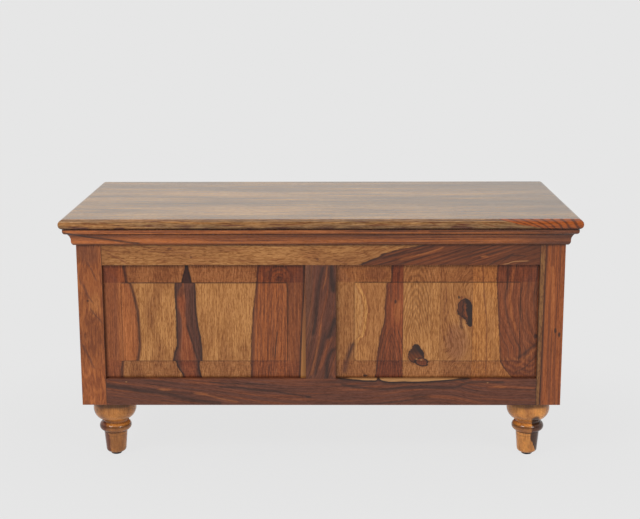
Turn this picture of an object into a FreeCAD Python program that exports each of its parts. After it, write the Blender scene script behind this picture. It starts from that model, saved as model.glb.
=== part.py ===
"""A blanket trunk: a frame-and-panel box on turned feet under a hinged lid.

The front faces -Y and +Z is up. The origin is on the ground, under the middle of the whole
trunk, hinge barrels included. Lengths are in millimetres. A wall is drawn in its own frame:
x along the wall, y inwards from its outer face, z up.
"""
import FreeCAD
import Part
import Sketcher

import math
import os
import re

SIZES = {
    # Box
    "carcass_width": 863,
    "carcass_depth": 422,
    "carcass_height": 326,
    "post_width": 44,
    "rail_thickness": 22,
    "top_rail_height": 67,
    "bottom_rail_height": 49.5,
    "muntin_width": 54,
    # Grooves and tenons
    "groove_width": 8,
    "groove_depth": 9,
    "groove_inset": 7,
    "tenon_length": 24,
    "tenon_shoulder": 11,
    "joint_clearance": 0.1,
    # Raised panels and flat back panels
    "panel_thickness": 13,
    "panel_margin": 33,
    "panel_shoulder": 1.6,
    "panel_clearance": 0.2,
    "panel_expansion": 1.2,
    # Cornice moulding, from its foot upwards
    "cornice_height": 30,
    "cornice_projection": 19.5,
    "cornice_foot": 3.6,
    "cornice_ogee_height": 7,
    "cornice_ogee_projection": 7.2,
    "cornice_cove_height": 8.5,
    "cornice_quirk_height": 21,
    "cornice_quirk_projection": 12.8,
    "cornice_bead_radius": 5.5,
    # Floor, its ledgers and the corner blocks
    "floor_thickness": 9,
    "floor_clearance": 0.5,
    "ledger_width": 18,
    "ledger_height": 18,
    "block_thickness": 30,
    "block_reach": 96,
    "block_shoulder": 60,
    # Turned feet, from the ground upwards
    "foot_inset": 50,
    "foot_height": 104.5,
    "foot_base_radius": 12.4,
    "foot_toe_radius": 18.4,
    "foot_toe_height": 6.3,
    "foot_ankle_radius": 21.4,
    "foot_collar_radius": 22.6,
    "foot_collar_height": 41,
    "foot_collar_thickness": 1.2,
    "foot_bead_radius": 29.3,
    "foot_bead_height": 17,
    "foot_neck_radius": 22.3,
    "foot_neck_height": 4.3,
    "foot_bowl_radius": 39.2,
    "foot_bowl_height": 85.5,
    "foot_top_radius": 38,
    "foot_bolt_diameter": 8,
    "foot_bolt_tip": 2,
    "foot_bolt_in_block": 26,
    "foot_bolt_in_foot": 46,
    "glide_diameter": 20,
    "glide_height": 4.5,
    "glide_edge": 1.2,
    "glide_nail_diameter": 3,
    "glide_nail_length": 18,
    # Lid and its battens
    "lid_overhang": 25.5,
    "lid_thickness": 18,
    "lid_edge_radius": 8.6,
    "lid_gap": 0.4,
    "lid_open_angle": 95,
    "batten_inset": 181,
    "batten_width": 40,
    "batten_thickness": 18,
    "batten_clearance": 20,
    "batten_screw_inset": 39,
    "batten_screw_length": 28,
    # Butt hinges
    "hinge_length": 76,
    "hinge_inset": 141,
    "leaf_reach": 23,
    "leaf_thickness": 2,
    "mortise_clearance": 0.1,
    "barrel_diameter": 7,
    "barrel_gap": 0.4,
    "knuckle_clearance": 0.2,
    "hinge_pin_diameter": 3.5,
    "hinge_pin_head_diameter": 6,
    "hinge_pin_head_height": 1.6,
    "pin_clearance": 0.05,
    "hinge_screw_pitch": 26,
    "hinge_screw_line": 14,
    "hinge_screw_length": 13,
    # Wood screws
    "screw_diameter": 3.8,
    "screw_head_diameter": 7.2,
    "screw_clearance": 0.1,
    # Slotted lid stays
    "stay_radius": 130,
    "stay_lid_drop": 10,
    "stay_stud_drop": 59,
    "stay_width": 14,
    "stay_thickness": 2.5,
    "stay_offset": 5.3,
    "stay_clearance": 0.3,
    "stud_diameter": 6,
    "stud_head_diameter": 11,
    "stud_head_thickness": 1.5,
    "stay_plate_width": 16,
    "stay_plate_length": 54,
    "stay_plate_thickness": 2,
    "stay_plate_screw_rise": 17,
    "stay_plate_screw_pitch": 20,
    "stay_plate_screw_length": 15,
    "bracket_width": 21,
    "bracket_length": 42,
    "bracket_thickness": 2,
    "bracket_ear_radius": 8,
    "bracket_screw_inset": 12,
    "bracket_screw_pitch": 26,
    "bracket_screw_length": 12,
    "rivet_diameter": 4,
    "rivet_head_diameter": 8,
    "rivet_head_thickness": 1.3,
    # Length by which a cut runs past the wood
    "overrun": 1,
}

KNUCKLES = 5
COUNTERSINK_ANGLE = -45

DERIVED = {
    # Levels and depths of the whole trunk
    "lid_width": "carcass_width + 2*lid_overhang",
    "lid_depth": "carcass_depth + lid_overhang",
    "barrel_reach": "barrel_gap + barrel_diameter/2",
    "back": "(lid_depth - barrel_gap - barrel_diameter)/2",
    "middle": "back - carcass_depth/2",
    "carcass_bottom": "glide_height + foot_height",
    "carcass_top": "carcass_bottom + carcass_height",
    "lid_bottom": "carcass_top + lid_gap",
    "hinge_line": "back + barrel_reach",
    "hinge_level": "carcass_top + lid_gap/2",
    # Joinery
    "opening_height": "carcass_height - top_rail_height - bottom_rail_height",
    "groove_back": "groove_inset + groove_width",
    "stub_length": "groove_depth - panel_clearance",
    "tongue_back": "groove_back - panel_clearance",
    "tongue_front": "groove_inset + panel_clearance",
    "field_front": "tongue_back - panel_thickness",
    "panel_hold": "groove_depth - panel_expansion",
    "floor_bottom": "carcass_bottom + block_thickness",
    "floor_half_width": "carcass_width/2 - rail_thickness - floor_clearance",
    "floor_half_depth": "carcass_depth/2 - rail_thickness - floor_clearance",
    "bead_bottom": "foot_collar_height + foot_collar_thickness",
    "bead_top": "bead_bottom + foot_bead_height",
    "neck_top": "bead_top + foot_neck_height",
    # Lid battens
    "batten_spacing": "carcass_width - 2*batten_inset",
    "batten_length": "carcass_depth - 2*(rail_thickness + batten_clearance)",
    "batten_screw_pitch": "batten_length/2 - batten_screw_inset",
    # Hardware
    "hinge_spacing": "carcass_width - 2*hinge_inset",
    "screw_sink": "(screw_head_diameter - screw_diameter)/2",
    "screw_bore": "screw_diameter/2 + screw_clearance",
    "leaf_top": "lid_gap/2",
    "leaf_bottom": "lid_gap/2 + leaf_thickness",
    "mortise_reach": "leaf_reach - barrel_reach + mortise_clearance",
    "knuckle": f"hinge_length/{KNUCKLES}",
    # Stay: both pivots lie on one circle about the hinge line
    "stay_lid_reach": "sqrt(stay_radius^2 - stay_lid_drop^2)",
    "stay_stud_reach": "sqrt(stay_radius^2 - stay_stud_drop^2)",
    "stay_fall": "stay_stud_drop - stay_lid_drop",
    "stay_lean": "stay_lid_reach - stay_stud_reach",
    "stay_closed_span": "sqrt(stay_fall^2 + stay_lean^2)",
    "stay_closed_half_angle": "asin(stay_closed_span/(2*stay_radius))",
    "stay_open_span": "2*stay_radius*sin(stay_closed_half_angle + lid_open_angle*1 deg/2)",
    "stay_wall": "carcass_width/2 - rail_thickness",
    "stay_outer": "stay_wall - stay_offset",
    "bracket_outer": "stay_outer - stay_thickness - stay_clearance",
    "bracket_rise": "stay_lid_drop + lid_gap/2",
}

# Corner: side of the trunk in x and in y
CORNERS = {
    "front_left": ("-1", "-1"),
    "front_right": ("1", "-1"),
    "rear_right": ("1", "1"),
    "rear_left": ("-1", "1"),
}

# Wall: place of its outer face and its width
WALLS = {
    "front": ("0", "middle - carcass_depth/2", "carcass_width"),
    "right": ("carcass_width/2", "middle", "carcass_depth"),
    "back": ("0", "back", "carcass_width"),
    "left": ("-carcass_width/2", "middle", "carcass_depth"),
}

SIDES = {"left": "-1", "right": "1"}

# Angle by which what stands on a wall, in a corner or at a stay is turned about the upright axis
WALL_ANGLES = {"front": 0, "right": 90, "back": 180, "left": 270}
CORNER_ANGLES = {"front_left": 0, "front_right": 90, "rear_right": 180, "rear_left": 270}
STAY_ANGLES = {"left": 0, "right": 180}

SHEET = "Sizes"
document = FreeCAD.newDocument("Trunk")
sheet = document.addObject("Spreadsheet::Sheet", SHEET)
pieces = []


def fill_sheet():
    """Write each driving size into its own named cell."""
    for row, (name, value) in enumerate(SIZES.items(), start=1):
        sheet.set(f"A{row}", name)
        sheet.set(f"B{row}", str(value))
        sheet.setAlias(f"B{row}", name)
    document.recompute()


def formula(text):
    """Write a formula in size names as an expression on the sheet's cells."""
    def expand(match):
        word = match.group()
        if word in SIZES:
            return f"{SHEET}.{word}"
        if word in DERIVED:
            return f"({formula(DERIVED[word])})"
        return word
    return re.sub(r"[a-z][a-z_]*", expand, text)


def number(text):
    """Work out a formula in size names."""
    return float(sheet.evalExpression(formula(text)))


def bind(item, setting, text):
    """Tie one setting of an object to a formula in size names."""
    item.setExpression(setting, formula(text))


def new_piece(label, x="0", y="0", z="0", angle=0):
    """Start a piece at a place, turned about the upright axis."""
    body = document.addObject("PartDesign::Body", label)
    body.Label = label
    body.Placement = FreeCAD.Placement(FreeCAD.Vector(),
                                       FreeCAD.Rotation(FreeCAD.Vector(0, 0, 1), angle))
    for axis, place in zip("xyz", (x, y, z)):
        bind(body, f"Placement.Base.{axis}", place)
    pieces.append(body)
    return body


def datum(body, role):
    """Find an origin plane or axis of a piece."""
    return next(item for item in body.Origin.OriginFeatures if item.Role == role)


def new_sketch(body, plane, lift="0", x="0", y="0"):
    """Start a sketch on an origin plane, lifted off it and shifted within it."""
    sketch = body.newObject("Sketcher::SketchObject", f"{body.Name}_sketch")
    sketch.AttachmentSupport = (datum(body, plane), [""])
    sketch.MapMode = "FlatFace"
    for axis, shift in zip("xyz", (x, y, lift)):
        bind(sketch, f"AttachmentOffset.Base.{axis}", shift)
    return sketch


def pin_point(sketch, line, end, place):
    """Hold one point of a sketch at a place given by two formulas."""
    for kind, text in zip(("DistanceX", "DistanceY"), place):
        held = sketch.addConstraint(Sketcher.Constraint(kind, -1, 1, line, end, number(text)))
        bind(sketch, f"Constraints[{held}]", text)


def bulge_point(start, end, radius, turn):
    """Find the middle of the minor arc between two points: turn 1 runs anticlockwise, -1 clockwise."""
    chord = end - start
    height = math.sqrt(max(radius**2 - (chord.Length/2)**2, 0))
    normal = FreeCAD.Vector(-chord.y, chord.x, 0).normalize()
    return (start + end)/2 + normal*turn*(height - radius)


def outline(sketch, places, arcs=None):
    """Draw a closed outline; arcs gives the radius and turn of the side after a point.

    An arc with no radius is a half circle on a level side.
    """
    arcs = arcs or {}
    corners = [FreeCAD.Vector(number(x), number(y), 0) for x, y in places]
    ends = []
    for index, start in enumerate(corners):
        end = corners[(index + 1) % len(corners)]
        if index not in arcs:
            side = sketch.addGeometry(Part.LineSegment(start, end))
            ends.append((side, 1, 2))
            continue
        radius, turn = arcs[index]
        size = number(radius) if radius else (end - start).Length/2
        side = sketch.addGeometry(Part.Arc(start, bulge_point(start, end, size, turn), end))
        if radius:
            held = sketch.addConstraint(Sketcher.Constraint("Radius", side, size))
            bind(sketch, f"Constraints[{held}]", radius)
        else:
            held = sketch.addConstraint(Sketcher.Constraint("DistanceY", -1, 1, side, 3, start.y))
            bind(sketch, f"Constraints[{held}]", places[index][1])
        ends.append((side, 1, 2) if turn > 0 else (side, 2, 1))
    for index, (side, first, last) in enumerate(ends):
        following, its_first, _ = ends[(index + 1) % len(ends)]
        sketch.addConstraint(Sketcher.Constraint("Coincident", side, last, following, its_first))
        pin_point(sketch, side, first, places[index])


def rectangle(sketch, left, low, right, high):
    """Draw an upright rectangle."""
    outline(sketch, [(left, low), (right, low), (right, high), (left, high)])


def circle(sketch, x, y, radius):
    """Draw a circle."""
    centre = FreeCAD.Vector(number(x), number(y), 0)
    ring = sketch.addGeometry(Part.Circle(centre, FreeCAD.Vector(0, 0, 1), number(radius)))
    pin_point(sketch, ring, 3, (x, y))
    held = sketch.addConstraint(Sketcher.Constraint("Radius", ring, number(radius)))
    bind(sketch, f"Constraints[{held}]", radius)


def slot(sketch, low, high, radius):
    """Draw an upright slot with round ends about two points of the upright axis."""
    outline(sketch,
            [(f"-({radius})", high), (f"-({radius})", low), (radius, low), (radius, high)],
            {1: (None, 1), 3: (None, 1)})


def pad(body, sketch, length, both_ways=False, reverse=False):
    """Thicken a sketch into wood or metal."""
    feature = body.newObject("PartDesign::Pad", f"{body.Name}_pad")
    feature.Profile = sketch
    bind(feature, "Length", length)
    feature.SideType = "Symmetric" if both_ways else "One side"
    feature.Reversed = reverse
    return feature


def pocket(body, sketch, depth, both_ways=False, reverse=False, taper=0):
    """Cut a sketch out of a piece, and make sure that something came away."""
    document.recompute()
    before = body.Shape.Volume
    feature = body.newObject("PartDesign::Pocket", f"{body.Name}_pocket")
    feature.Profile = sketch
    bind(feature, "Length", depth)
    feature.SideType = "Symmetric" if both_ways else "One side"
    feature.Reversed = reverse
    feature.TaperAngle = taper
    document.recompute()
    if not body.Shape.Volume < before:
        raise RuntimeError(f"a cut in {body.Label} removes nothing")
    return feature


def turned(body, sketch, axis):
    """Turn a half section about one of its sketch's axes."""
    feature = body.newObject("PartDesign::Revolution", f"{body.Name}_turning")
    feature.Profile = sketch
    feature.ReferenceAxis = (sketch, [axis])
    feature.Angle = 360
    document.recompute()


def repeated(body, axis, length, count):
    """Repeat the whole piece along an axis, as a row of separate solids."""
    feature = body.newObject("PartDesign::LinearPattern", f"{body.Name}_row")
    feature.TransformMode = "Whole shape"
    feature.Direction = (datum(body, axis), [""])
    bind(feature, "Length", length)
    feature.Occurrences = count
    body.Tip = feature


def mirrored(body, plane):
    """Repeat the whole piece on the other side of a plane."""
    feature = body.newObject("PartDesign::Mirrored", f"{body.Name}_mirror")
    feature.TransformMode = "Whole shape"
    feature.MirrorPlane = (datum(body, plane), [""])
    body.Tip = feature


def screw_section(sketch, length, point=-1, lying=False):
    """Draw the half section of a countersunk screw whose head is flush with the sketch's origin."""
    section = [
        ("0", "0"),
        ("screw_head_diameter/2", "0"),
        ("screw_diameter/2", f"{point}*screw_sink"),
        ("screw_diameter/2", f"{point}*{length}"),
        ("0", f"{point}*{length}"),
    ]
    outline(sketch, [(y, x) if lying else (x, y) for x, y in section])


def screw_holes(body, plane, lift, spots, through, reverse=False):
    """Bore and countersink clearance holes for screws."""
    bores = new_sketch(body, plane, lift)
    seats = new_sketch(body, plane, lift)
    for x, y in spots:
        circle(bores, x, y, "screw_bore")
        circle(seats, x, y, "screw_head_diameter/2 + screw_clearance")
    pocket(body, bores, through, reverse=reverse)
    pocket(body, seats, "screw_sink", reverse=reverse, taper=COUNTERSINK_ANGLE)


def pilot_holes(body, plane, lift, spots, depth, reverse=False):
    """Bore the blind holes that screws bite into."""
    bores = new_sketch(body, plane, lift)
    for x, y in spots:
        circle(bores, x, y, "screw_bore")
    pocket(body, bores, f"{depth} + screw_clearance", reverse=reverse)


def make_post(corner):
    """A square corner post, mortised and grooved on its two inner faces."""
    x_side, y_side = CORNERS[corner]
    post = new_piece(f"post_{corner}", f"{x_side}*carcass_width/2",
                     f"middle + {y_side}*carcass_depth/2", "carcass_bottom", CORNER_ANGLES[corner])
    section = new_sketch(post, "XY_Plane")
    rectangle(section, "0", "0", "post_width", "post_width")
    pad(post, section, "carcass_height")
    top_rail_foot = "carcass_height - top_rail_height"
    for plane, lift, reverse in (("YZ_Plane", "post_width", False), ("XZ_Plane", "-post_width", True)):
        mortises = new_sketch(post, plane, lift)
        rectangle(mortises, "groove_inset", "tenon_shoulder - joint_clearance",
                  "groove_back", "bottom_rail_height - groove_depth + joint_clearance")
        rectangle(mortises, "groove_inset", f"{top_rail_foot} + groove_depth - joint_clearance",
                  "groove_back", "carcass_height - tenon_shoulder + joint_clearance")
        pocket(post, mortises, "tenon_length + joint_clearance", reverse=reverse)
        groove = new_sketch(post, plane, lift)
        rectangle(groove, "groove_inset", "bottom_rail_height - groove_depth",
                  "groove_back", f"{top_rail_foot} + groove_depth")
        pocket(post, groove, "groove_depth", reverse=reverse)


def make_rail(wall, level):
    """A rail with a tenon on each end and a panel groove along the edge that faces the panel."""
    x, y, width = WALLS[wall]
    height = f"{level}_rail_height"
    foot = "carcass_bottom" if level == "bottom" else "carcass_top - top_rail_height"
    span = f"({width} - 2*post_width)"
    rail = new_piece(f"rail_{wall}_{level}", x, y, foot, WALL_ANGLES[wall])
    section = new_sketch(rail, "YZ_Plane")
    rectangle(section, "0", "0", "rail_thickness", height)
    pad(rail, section, span, both_ways=True)
    groove = new_sketch(rail, "YZ_Plane")
    tenon = new_sketch(rail, "YZ_Plane")
    if level == "bottom":
        groove_low, groove_high = f"{height} - groove_depth", f"{height} + overrun"
        tenon_low, tenon_high = "tenon_shoulder", f"{height} - groove_depth"
    else:
        groove_low, groove_high = "-overrun", "groove_depth"
        tenon_low, tenon_high = "groove_depth", f"{height} - tenon_shoulder"
    rectangle(groove, "groove_inset", groove_low, "groove_back", groove_high)
    pocket(rail, groove, f"{span} + 2*overrun", both_ways=True)
    rectangle(tenon, "groove_inset + joint_clearance", tenon_low,
              "groove_back - joint_clearance", tenon_high)
    pad(rail, tenon, f"{span} + 2*tenon_length", both_ways=True)
    return rail


def make_muntin(wall):
    """The upright between a wall's two panels, stub-tenoned into the rails' grooves."""
    x, y, _ = WALLS[wall]
    muntin = new_piece(f"muntin_{wall}", x, y, "carcass_bottom + bottom_rail_height",
                       WALL_ANGLES[wall])
    section = new_sketch(muntin, "XY_Plane")
    rectangle(section, "-muntin_width/2", "0", "muntin_width/2", "rail_thickness")
    pad(muntin, section, "opening_height")
    grooves = new_sketch(muntin, "XY_Plane", "opening_height + overrun")
    groove_floor = "(muntin_width/2 - groove_depth)"
    for side in SIDES.values():
        rectangle(grooves, f"{side}*{groove_floor}", "groove_inset",
                  f"{side}*(muntin_width/2 + overrun)", "groove_back")
    pocket(muntin, grooves, "opening_height + 2*overrun")
    stub = new_sketch(muntin, "XY_Plane", "-stub_length")
    rectangle(stub, f"-{groove_floor}", "groove_inset + joint_clearance",
              groove_floor, "groove_back - joint_clearance")
    pad(muntin, stub, "opening_height + 2*stub_length")


def make_panel(label, wall, shift, width, raised):
    """A panel whose tongue floats in the frame's grooves, with a raised field if it shows."""
    x, y, _ = WALLS[wall]
    if wall in ("front", "back"):
        x = shift
    panel = new_piece(label, x, y, "carcass_bottom + bottom_rail_height + opening_height/2",
                      WALL_ANGLES[wall])
    half_width = f"({width})/2"
    half_height = "opening_height/2"

    def level_face(depth, inset):
        face = new_sketch(panel, "XZ_Plane", f"-({depth})")
        rectangle(face, f"-({half_width} - {inset})", f"-({half_height} - {inset})",
                  f"{half_width} - {inset}", f"{half_height} - {inset}")
        return face

    tongue = level_face("tongue_back", "(0 - panel_hold)")
    pad(panel, tongue, "groove_width - 2*panel_clearance")
    if raised:
        bevel = panel.newObject("PartDesign::AdditiveLoft", f"{label}_bevel")
        bevel.Profile = level_face("tongue_front", "panel_clearance")
        bevel.Sections = [level_face("field_front + panel_shoulder", "panel_margin")]
        bevel.Ruled = True
        field = level_face("field_front + panel_shoulder", "panel_margin")
        pad(panel, field, "panel_shoulder")


def make_cornice(wall, mitred_ends):
    """A length of moulding with a bead, a cove and an ogee foot, mitred where it meets another."""
    x, y, width = WALLS[wall]
    cornice = new_piece(f"cornice_{wall}", x, y, "carcass_top - cornice_height", WALL_ANGLES[wall])
    section = new_sketch(cornice, "YZ_Plane")
    bead_foot = "cornice_projection - cornice_bead_radius"
    cove_rise = "(cornice_quirk_height - cornice_cove_height)"
    cove_run = "(cornice_quirk_projection - cornice_ogee_projection)"
    ogee_run = "(cornice_ogee_projection - cornice_foot)"
    outline(section, [
        ("0", "0"),
        ("0", "cornice_height"),
        ("-cornice_projection", "cornice_height"),
        ("-cornice_projection", "cornice_quirk_height + cornice_bead_radius"),
        (f"-({bead_foot})", "cornice_quirk_height"),
        ("-cornice_quirk_projection", "cornice_quirk_height"),
        ("-cornice_ogee_projection", "cornice_cove_height"),
        ("-cornice_ogee_projection", "cornice_ogee_height"),
        ("-cornice_foot", "0"),
    ], {
        3: ("cornice_bead_radius", 1),
        5: (f"({cove_rise}^2 + {cove_run}^2)/(2*{cove_run})", -1),
        7: (f"(cornice_ogee_height^2 + {ogee_run}^2)/(2*{ogee_run})", 1),
    })
    length = f"{width} + 2*cornice_projection"
    pad(cornice, section, length, both_ways=True)
    ends = new_sketch(cornice, "XY_Plane")
    past = "(cornice_projection + overrun)"
    for side, end in SIDES.items():
        tip = f"{end}*({width}/2 + {past})"
        waste = [(f"{end}*{width}/2", "0"), (tip, f"-{past}"), (tip, "0")]
        if side not in mitred_ends:
            waste.insert(1, (f"{end}*{width}/2", f"-{past}"))
        outline(ends, waste)
    pocket(cornice, ends, "2*cornice_height + 2*overrun", both_ways=True)


def make_floor():
    """The floor board, notched round the posts."""
    floor = new_piece("floor_board", "0", "middle", "floor_bottom")
    plan = new_sketch(floor, "XY_Plane")
    rectangle(plan, "-floor_half_width", "-floor_half_depth", "floor_half_width", "floor_half_depth")
    pad(floor, plan, "floor_thickness")
    notches = new_sketch(floor, "XY_Plane", "floor_thickness")
    for x_side, y_side in CORNERS.values():
        rectangle(notches,
                  f"{x_side}*(carcass_width/2 - post_width - floor_clearance)",
                  f"{y_side}*(carcass_depth/2 - post_width - floor_clearance)",
                  f"{x_side}*(floor_half_width + overrun)",
                  f"{y_side}*(floor_half_depth + overrun)")
    pocket(floor, notches, "floor_thickness + overrun")


def make_ledger(wall):
    """A strip on the inner face of a bottom rail that carries the floor between the blocks."""
    x, y, width = WALLS[wall]
    ledger = new_piece(f"floor_ledger_{wall}", x, y, "floor_bottom - ledger_height",
                       WALL_ANGLES[wall])
    section = new_sketch(ledger, "YZ_Plane")
    rectangle(section, "rail_thickness", "0", "rail_thickness + ledger_width", "ledger_height")
    pad(ledger, section, f"{width} - 2*block_reach - 2*joint_clearance", both_ways=True)


def make_corner_block(corner):
    """A block glued into a corner round its post, bored for the foot's bolt."""
    x_side, y_side = CORNERS[corner]
    block = new_piece(f"corner_block_{corner}", f"{x_side}*carcass_width/2",
                      f"middle + {y_side}*carcass_depth/2", "carcass_bottom", CORNER_ANGLES[corner])
    plan = new_sketch(block, "XY_Plane")
    outline(plan, [
        ("post_width", "rail_thickness"),
        ("block_reach", "rail_thickness"),
        ("block_reach", "block_shoulder"),
        ("block_shoulder", "block_reach"),
        ("rail_thickness", "block_reach"),
        ("rail_thickness", "post_width"),
        ("post_width", "post_width"),
    ])
    pad(block, plan, "block_thickness")
    bore = new_sketch(block, "XY_Plane")
    circle(bore, "foot_inset", "foot_inset", "foot_bolt_diameter/2 + screw_clearance")
    pocket(block, bore, "foot_bolt_in_block + screw_clearance", reverse=True)


def make_foot(corner):
    """A turned foot: tapered toe, collar, bead, neck and a wide bowl under the box."""
    x_side, y_side = CORNERS[corner]
    foot = new_piece(f"foot_{corner}", f"{x_side}*(carcass_width/2 - foot_inset)",
                     f"middle + {y_side}*(carcass_depth/2 - foot_inset)", "glide_height")
    bead_half = "(foot_bead_height/2)"
    bead_bulge = "(foot_bead_radius - (foot_collar_radius + foot_neck_radius)/2)"
    bowl_run = "(foot_bowl_radius - foot_neck_radius)"
    bowl_rise = "(foot_bowl_height - neck_top)"
    roll_run = "(foot_bowl_radius - foot_top_radius)"
    roll_rise = "(foot_height - foot_bowl_height)"
    toe_run = "(foot_toe_radius - foot_base_radius)"
    section = new_sketch(foot, "XZ_Plane")
    outline(section, [
        ("0", "0"),
        ("foot_base_radius", "0"),
        ("foot_toe_radius", "foot_toe_height"),
        ("foot_ankle_radius", "foot_collar_height"),
        ("foot_collar_radius", "foot_collar_height"),
        ("foot_collar_radius", "bead_bottom"),
        ("foot_neck_radius", "bead_top"),
        ("foot_neck_radius", "neck_top"),
        ("foot_bowl_radius", "foot_bowl_height"),
        ("foot_top_radius", "foot_height"),
        ("0", "foot_height"),
    ], {
        1: (f"(foot_toe_height^2 + {toe_run}^2)/(2*{toe_run})", 1),
        5: (f"({bead_half}^2 + {bead_bulge}^2)/(2*{bead_bulge})", 1),
        7: (f"({bowl_rise}^2 + {bowl_run}^2)/(2*{bowl_run})", 1),
        8: (f"({roll_rise}^2 + {roll_run}^2)/(2*{roll_run})", 1),
    })
    turned(foot, section, "V_Axis")
    bolt_bore = new_sketch(foot, "XY_Plane", "foot_height")
    circle(bolt_bore, "0", "0", "foot_bolt_diameter/2 + screw_clearance")
    pocket(foot, bolt_bore, "foot_bolt_in_foot + screw_clearance")
    nail_bore = new_sketch(foot, "XY_Plane")
    circle(nail_bore, "0", "0", "glide_nail_diameter/2 + screw_clearance")
    pocket(foot, nail_bore, "glide_nail_length + screw_clearance", reverse=True)


def set_under_feet(body):
    """Repeat a piece drawn under the front left foot under the other feet."""
    repeated(body, "Y_Axis", "carcass_depth - 2*foot_inset", 2)
    mirrored(body, "YZ_Plane")


def make_foot_bolts():
    """The hanger bolts that hold the feet to the corner blocks."""
    bolts = new_piece("foot_bolts", "0", "middle - carcass_depth/2 + foot_inset", "carcass_bottom")
    section = new_sketch(bolts, "XZ_Plane", x="foot_inset - carcass_width/2")
    radius = "foot_bolt_diameter/2"
    outline(section, [
        ("0", "-foot_bolt_in_foot"),
        (f"{radius} - foot_bolt_tip", "-foot_bolt_in_foot"),
        (radius, "foot_bolt_tip - foot_bolt_in_foot"),
        (radius, "foot_bolt_in_block - foot_bolt_tip"),
        (f"{radius} - foot_bolt_tip", "foot_bolt_in_block"),
        ("0", "foot_bolt_in_block"),
    ])
    turned(bolts, section, "V_Axis")
    set_under_feet(bolts)


def make_foot_glides():
    """The nailed glides that the trunk stands on."""
    glides = new_piece("foot_glides", "0", "middle - carcass_depth/2 + foot_inset")
    section = new_sketch(glides, "XZ_Plane", x="foot_inset - carcass_width/2")
    outline(section, [
        ("0", "0"),
        ("glide_diameter/2 - glide_edge", "0"),
        ("glide_diameter/2", "glide_edge"),
        ("glide_diameter/2", "glide_height"),
        ("glide_nail_diameter/2", "glide_height"),
        ("glide_nail_diameter/2", "glide_height + glide_nail_length"),
        ("0", "glide_height + glide_nail_length"),
    ])
    turned(glides, section, "V_Axis")
    set_under_feet(glides)


def hinge_screw_spots(y):
    """The screw places of both hinges along one line."""
    return [(f"{side}*hinge_spacing/2 + {step}*hinge_screw_pitch", y)
            for side in SIDES.values() for step in (-1, 0, 1)]


def cut_leaf_mortises(body, lift, rear, depth, reverse=False):
    """Let both hinge leaves into the wood from its rear face."""
    mortises = new_sketch(body, "XY_Plane", lift)
    half = "(hinge_length/2 + mortise_clearance)"
    low, high = sorted((f"{rear}*overrun", f"-({rear})*mortise_reach"), key=number)
    for side in SIDES.values():
        rectangle(mortises, f"{side}*hinge_spacing/2 - {half}", low,
                  f"{side}*hinge_spacing/2 + {half}", high)
    pocket(body, mortises, depth, reverse=reverse)


def make_lid():
    """The lid board, rounded on its front and side edges and square along its hinged edge."""
    lid = new_piece("lid_panel", "0", "back", "lid_bottom")
    plan = new_sketch(lid, "XY_Plane")
    rectangle(plan, "-lid_width/2", "-lid_depth", "lid_width/2", "0")
    board = pad(lid, plan, "lid_thickness")
    document.recompute()
    rounding = lid.newObject("PartDesign::Fillet", "lid_panel_rounding")
    rounding.Base = (board, [f"Edge{index}" for index, edge in enumerate(board.Shape.Edges, start=1)
                             if shows_on_lid(edge)])
    bind(rounding, "Radius", "lid_edge_radius")
    cut_leaf_mortises(lid, "0", 1, "leaf_thickness", reverse=True)
    pilot_holes(lid, "XY_Plane", "0", hinge_screw_spots("barrel_reach - hinge_screw_line"),
                "hinge_screw_length", reverse=True)
    batten_line = "-carcass_depth/2"
    spots = [(f"{side}*batten_spacing/2", f"{batten_line} + {step}*batten_screw_pitch")
             for side in SIDES.values() for step in (-1, 0, 1)]
    pilot_holes(lid, "XY_Plane", "0", spots, "batten_screw_length - batten_thickness", reverse=True)
    bracket_line = "barrel_reach - stay_lid_reach"
    spots = [(f"{side}*(bracket_outer - bracket_screw_inset)",
              f"{bracket_line} + {step}*bracket_screw_pitch/2")
             for side in SIDES.values() for step in (-1, 1)]
    pilot_holes(lid, "XY_Plane", "0", spots, "bracket_screw_length - bracket_thickness", reverse=True)


def shows_on_lid(edge):
    """Whether an edge of the lid board is level and away from the hinged edge."""
    level = edge.BoundBox.ZLength < number("lid_thickness")/2
    return level and edge.CenterOfMass.y < -number("lid_edge_radius")/2


def make_batten(side):
    """A batten screwed across the underside of the lid to keep it flat."""
    batten = new_piece(f"lid_batten_{side}", f"{SIDES[side]}*batten_spacing/2", "middle",
                       "lid_bottom - batten_thickness")
    plan = new_sketch(batten, "XY_Plane")
    rectangle(plan, "-batten_width/2", "-batten_length/2", "batten_width/2", "batten_length/2")
    pad(batten, plan, "batten_thickness")
    spots = [("0", f"{step}*batten_screw_pitch") for step in (-1, 0, 1)]
    screw_holes(batten, "XY_Plane", "0", spots, "batten_thickness + overrun", reverse=True)


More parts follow.
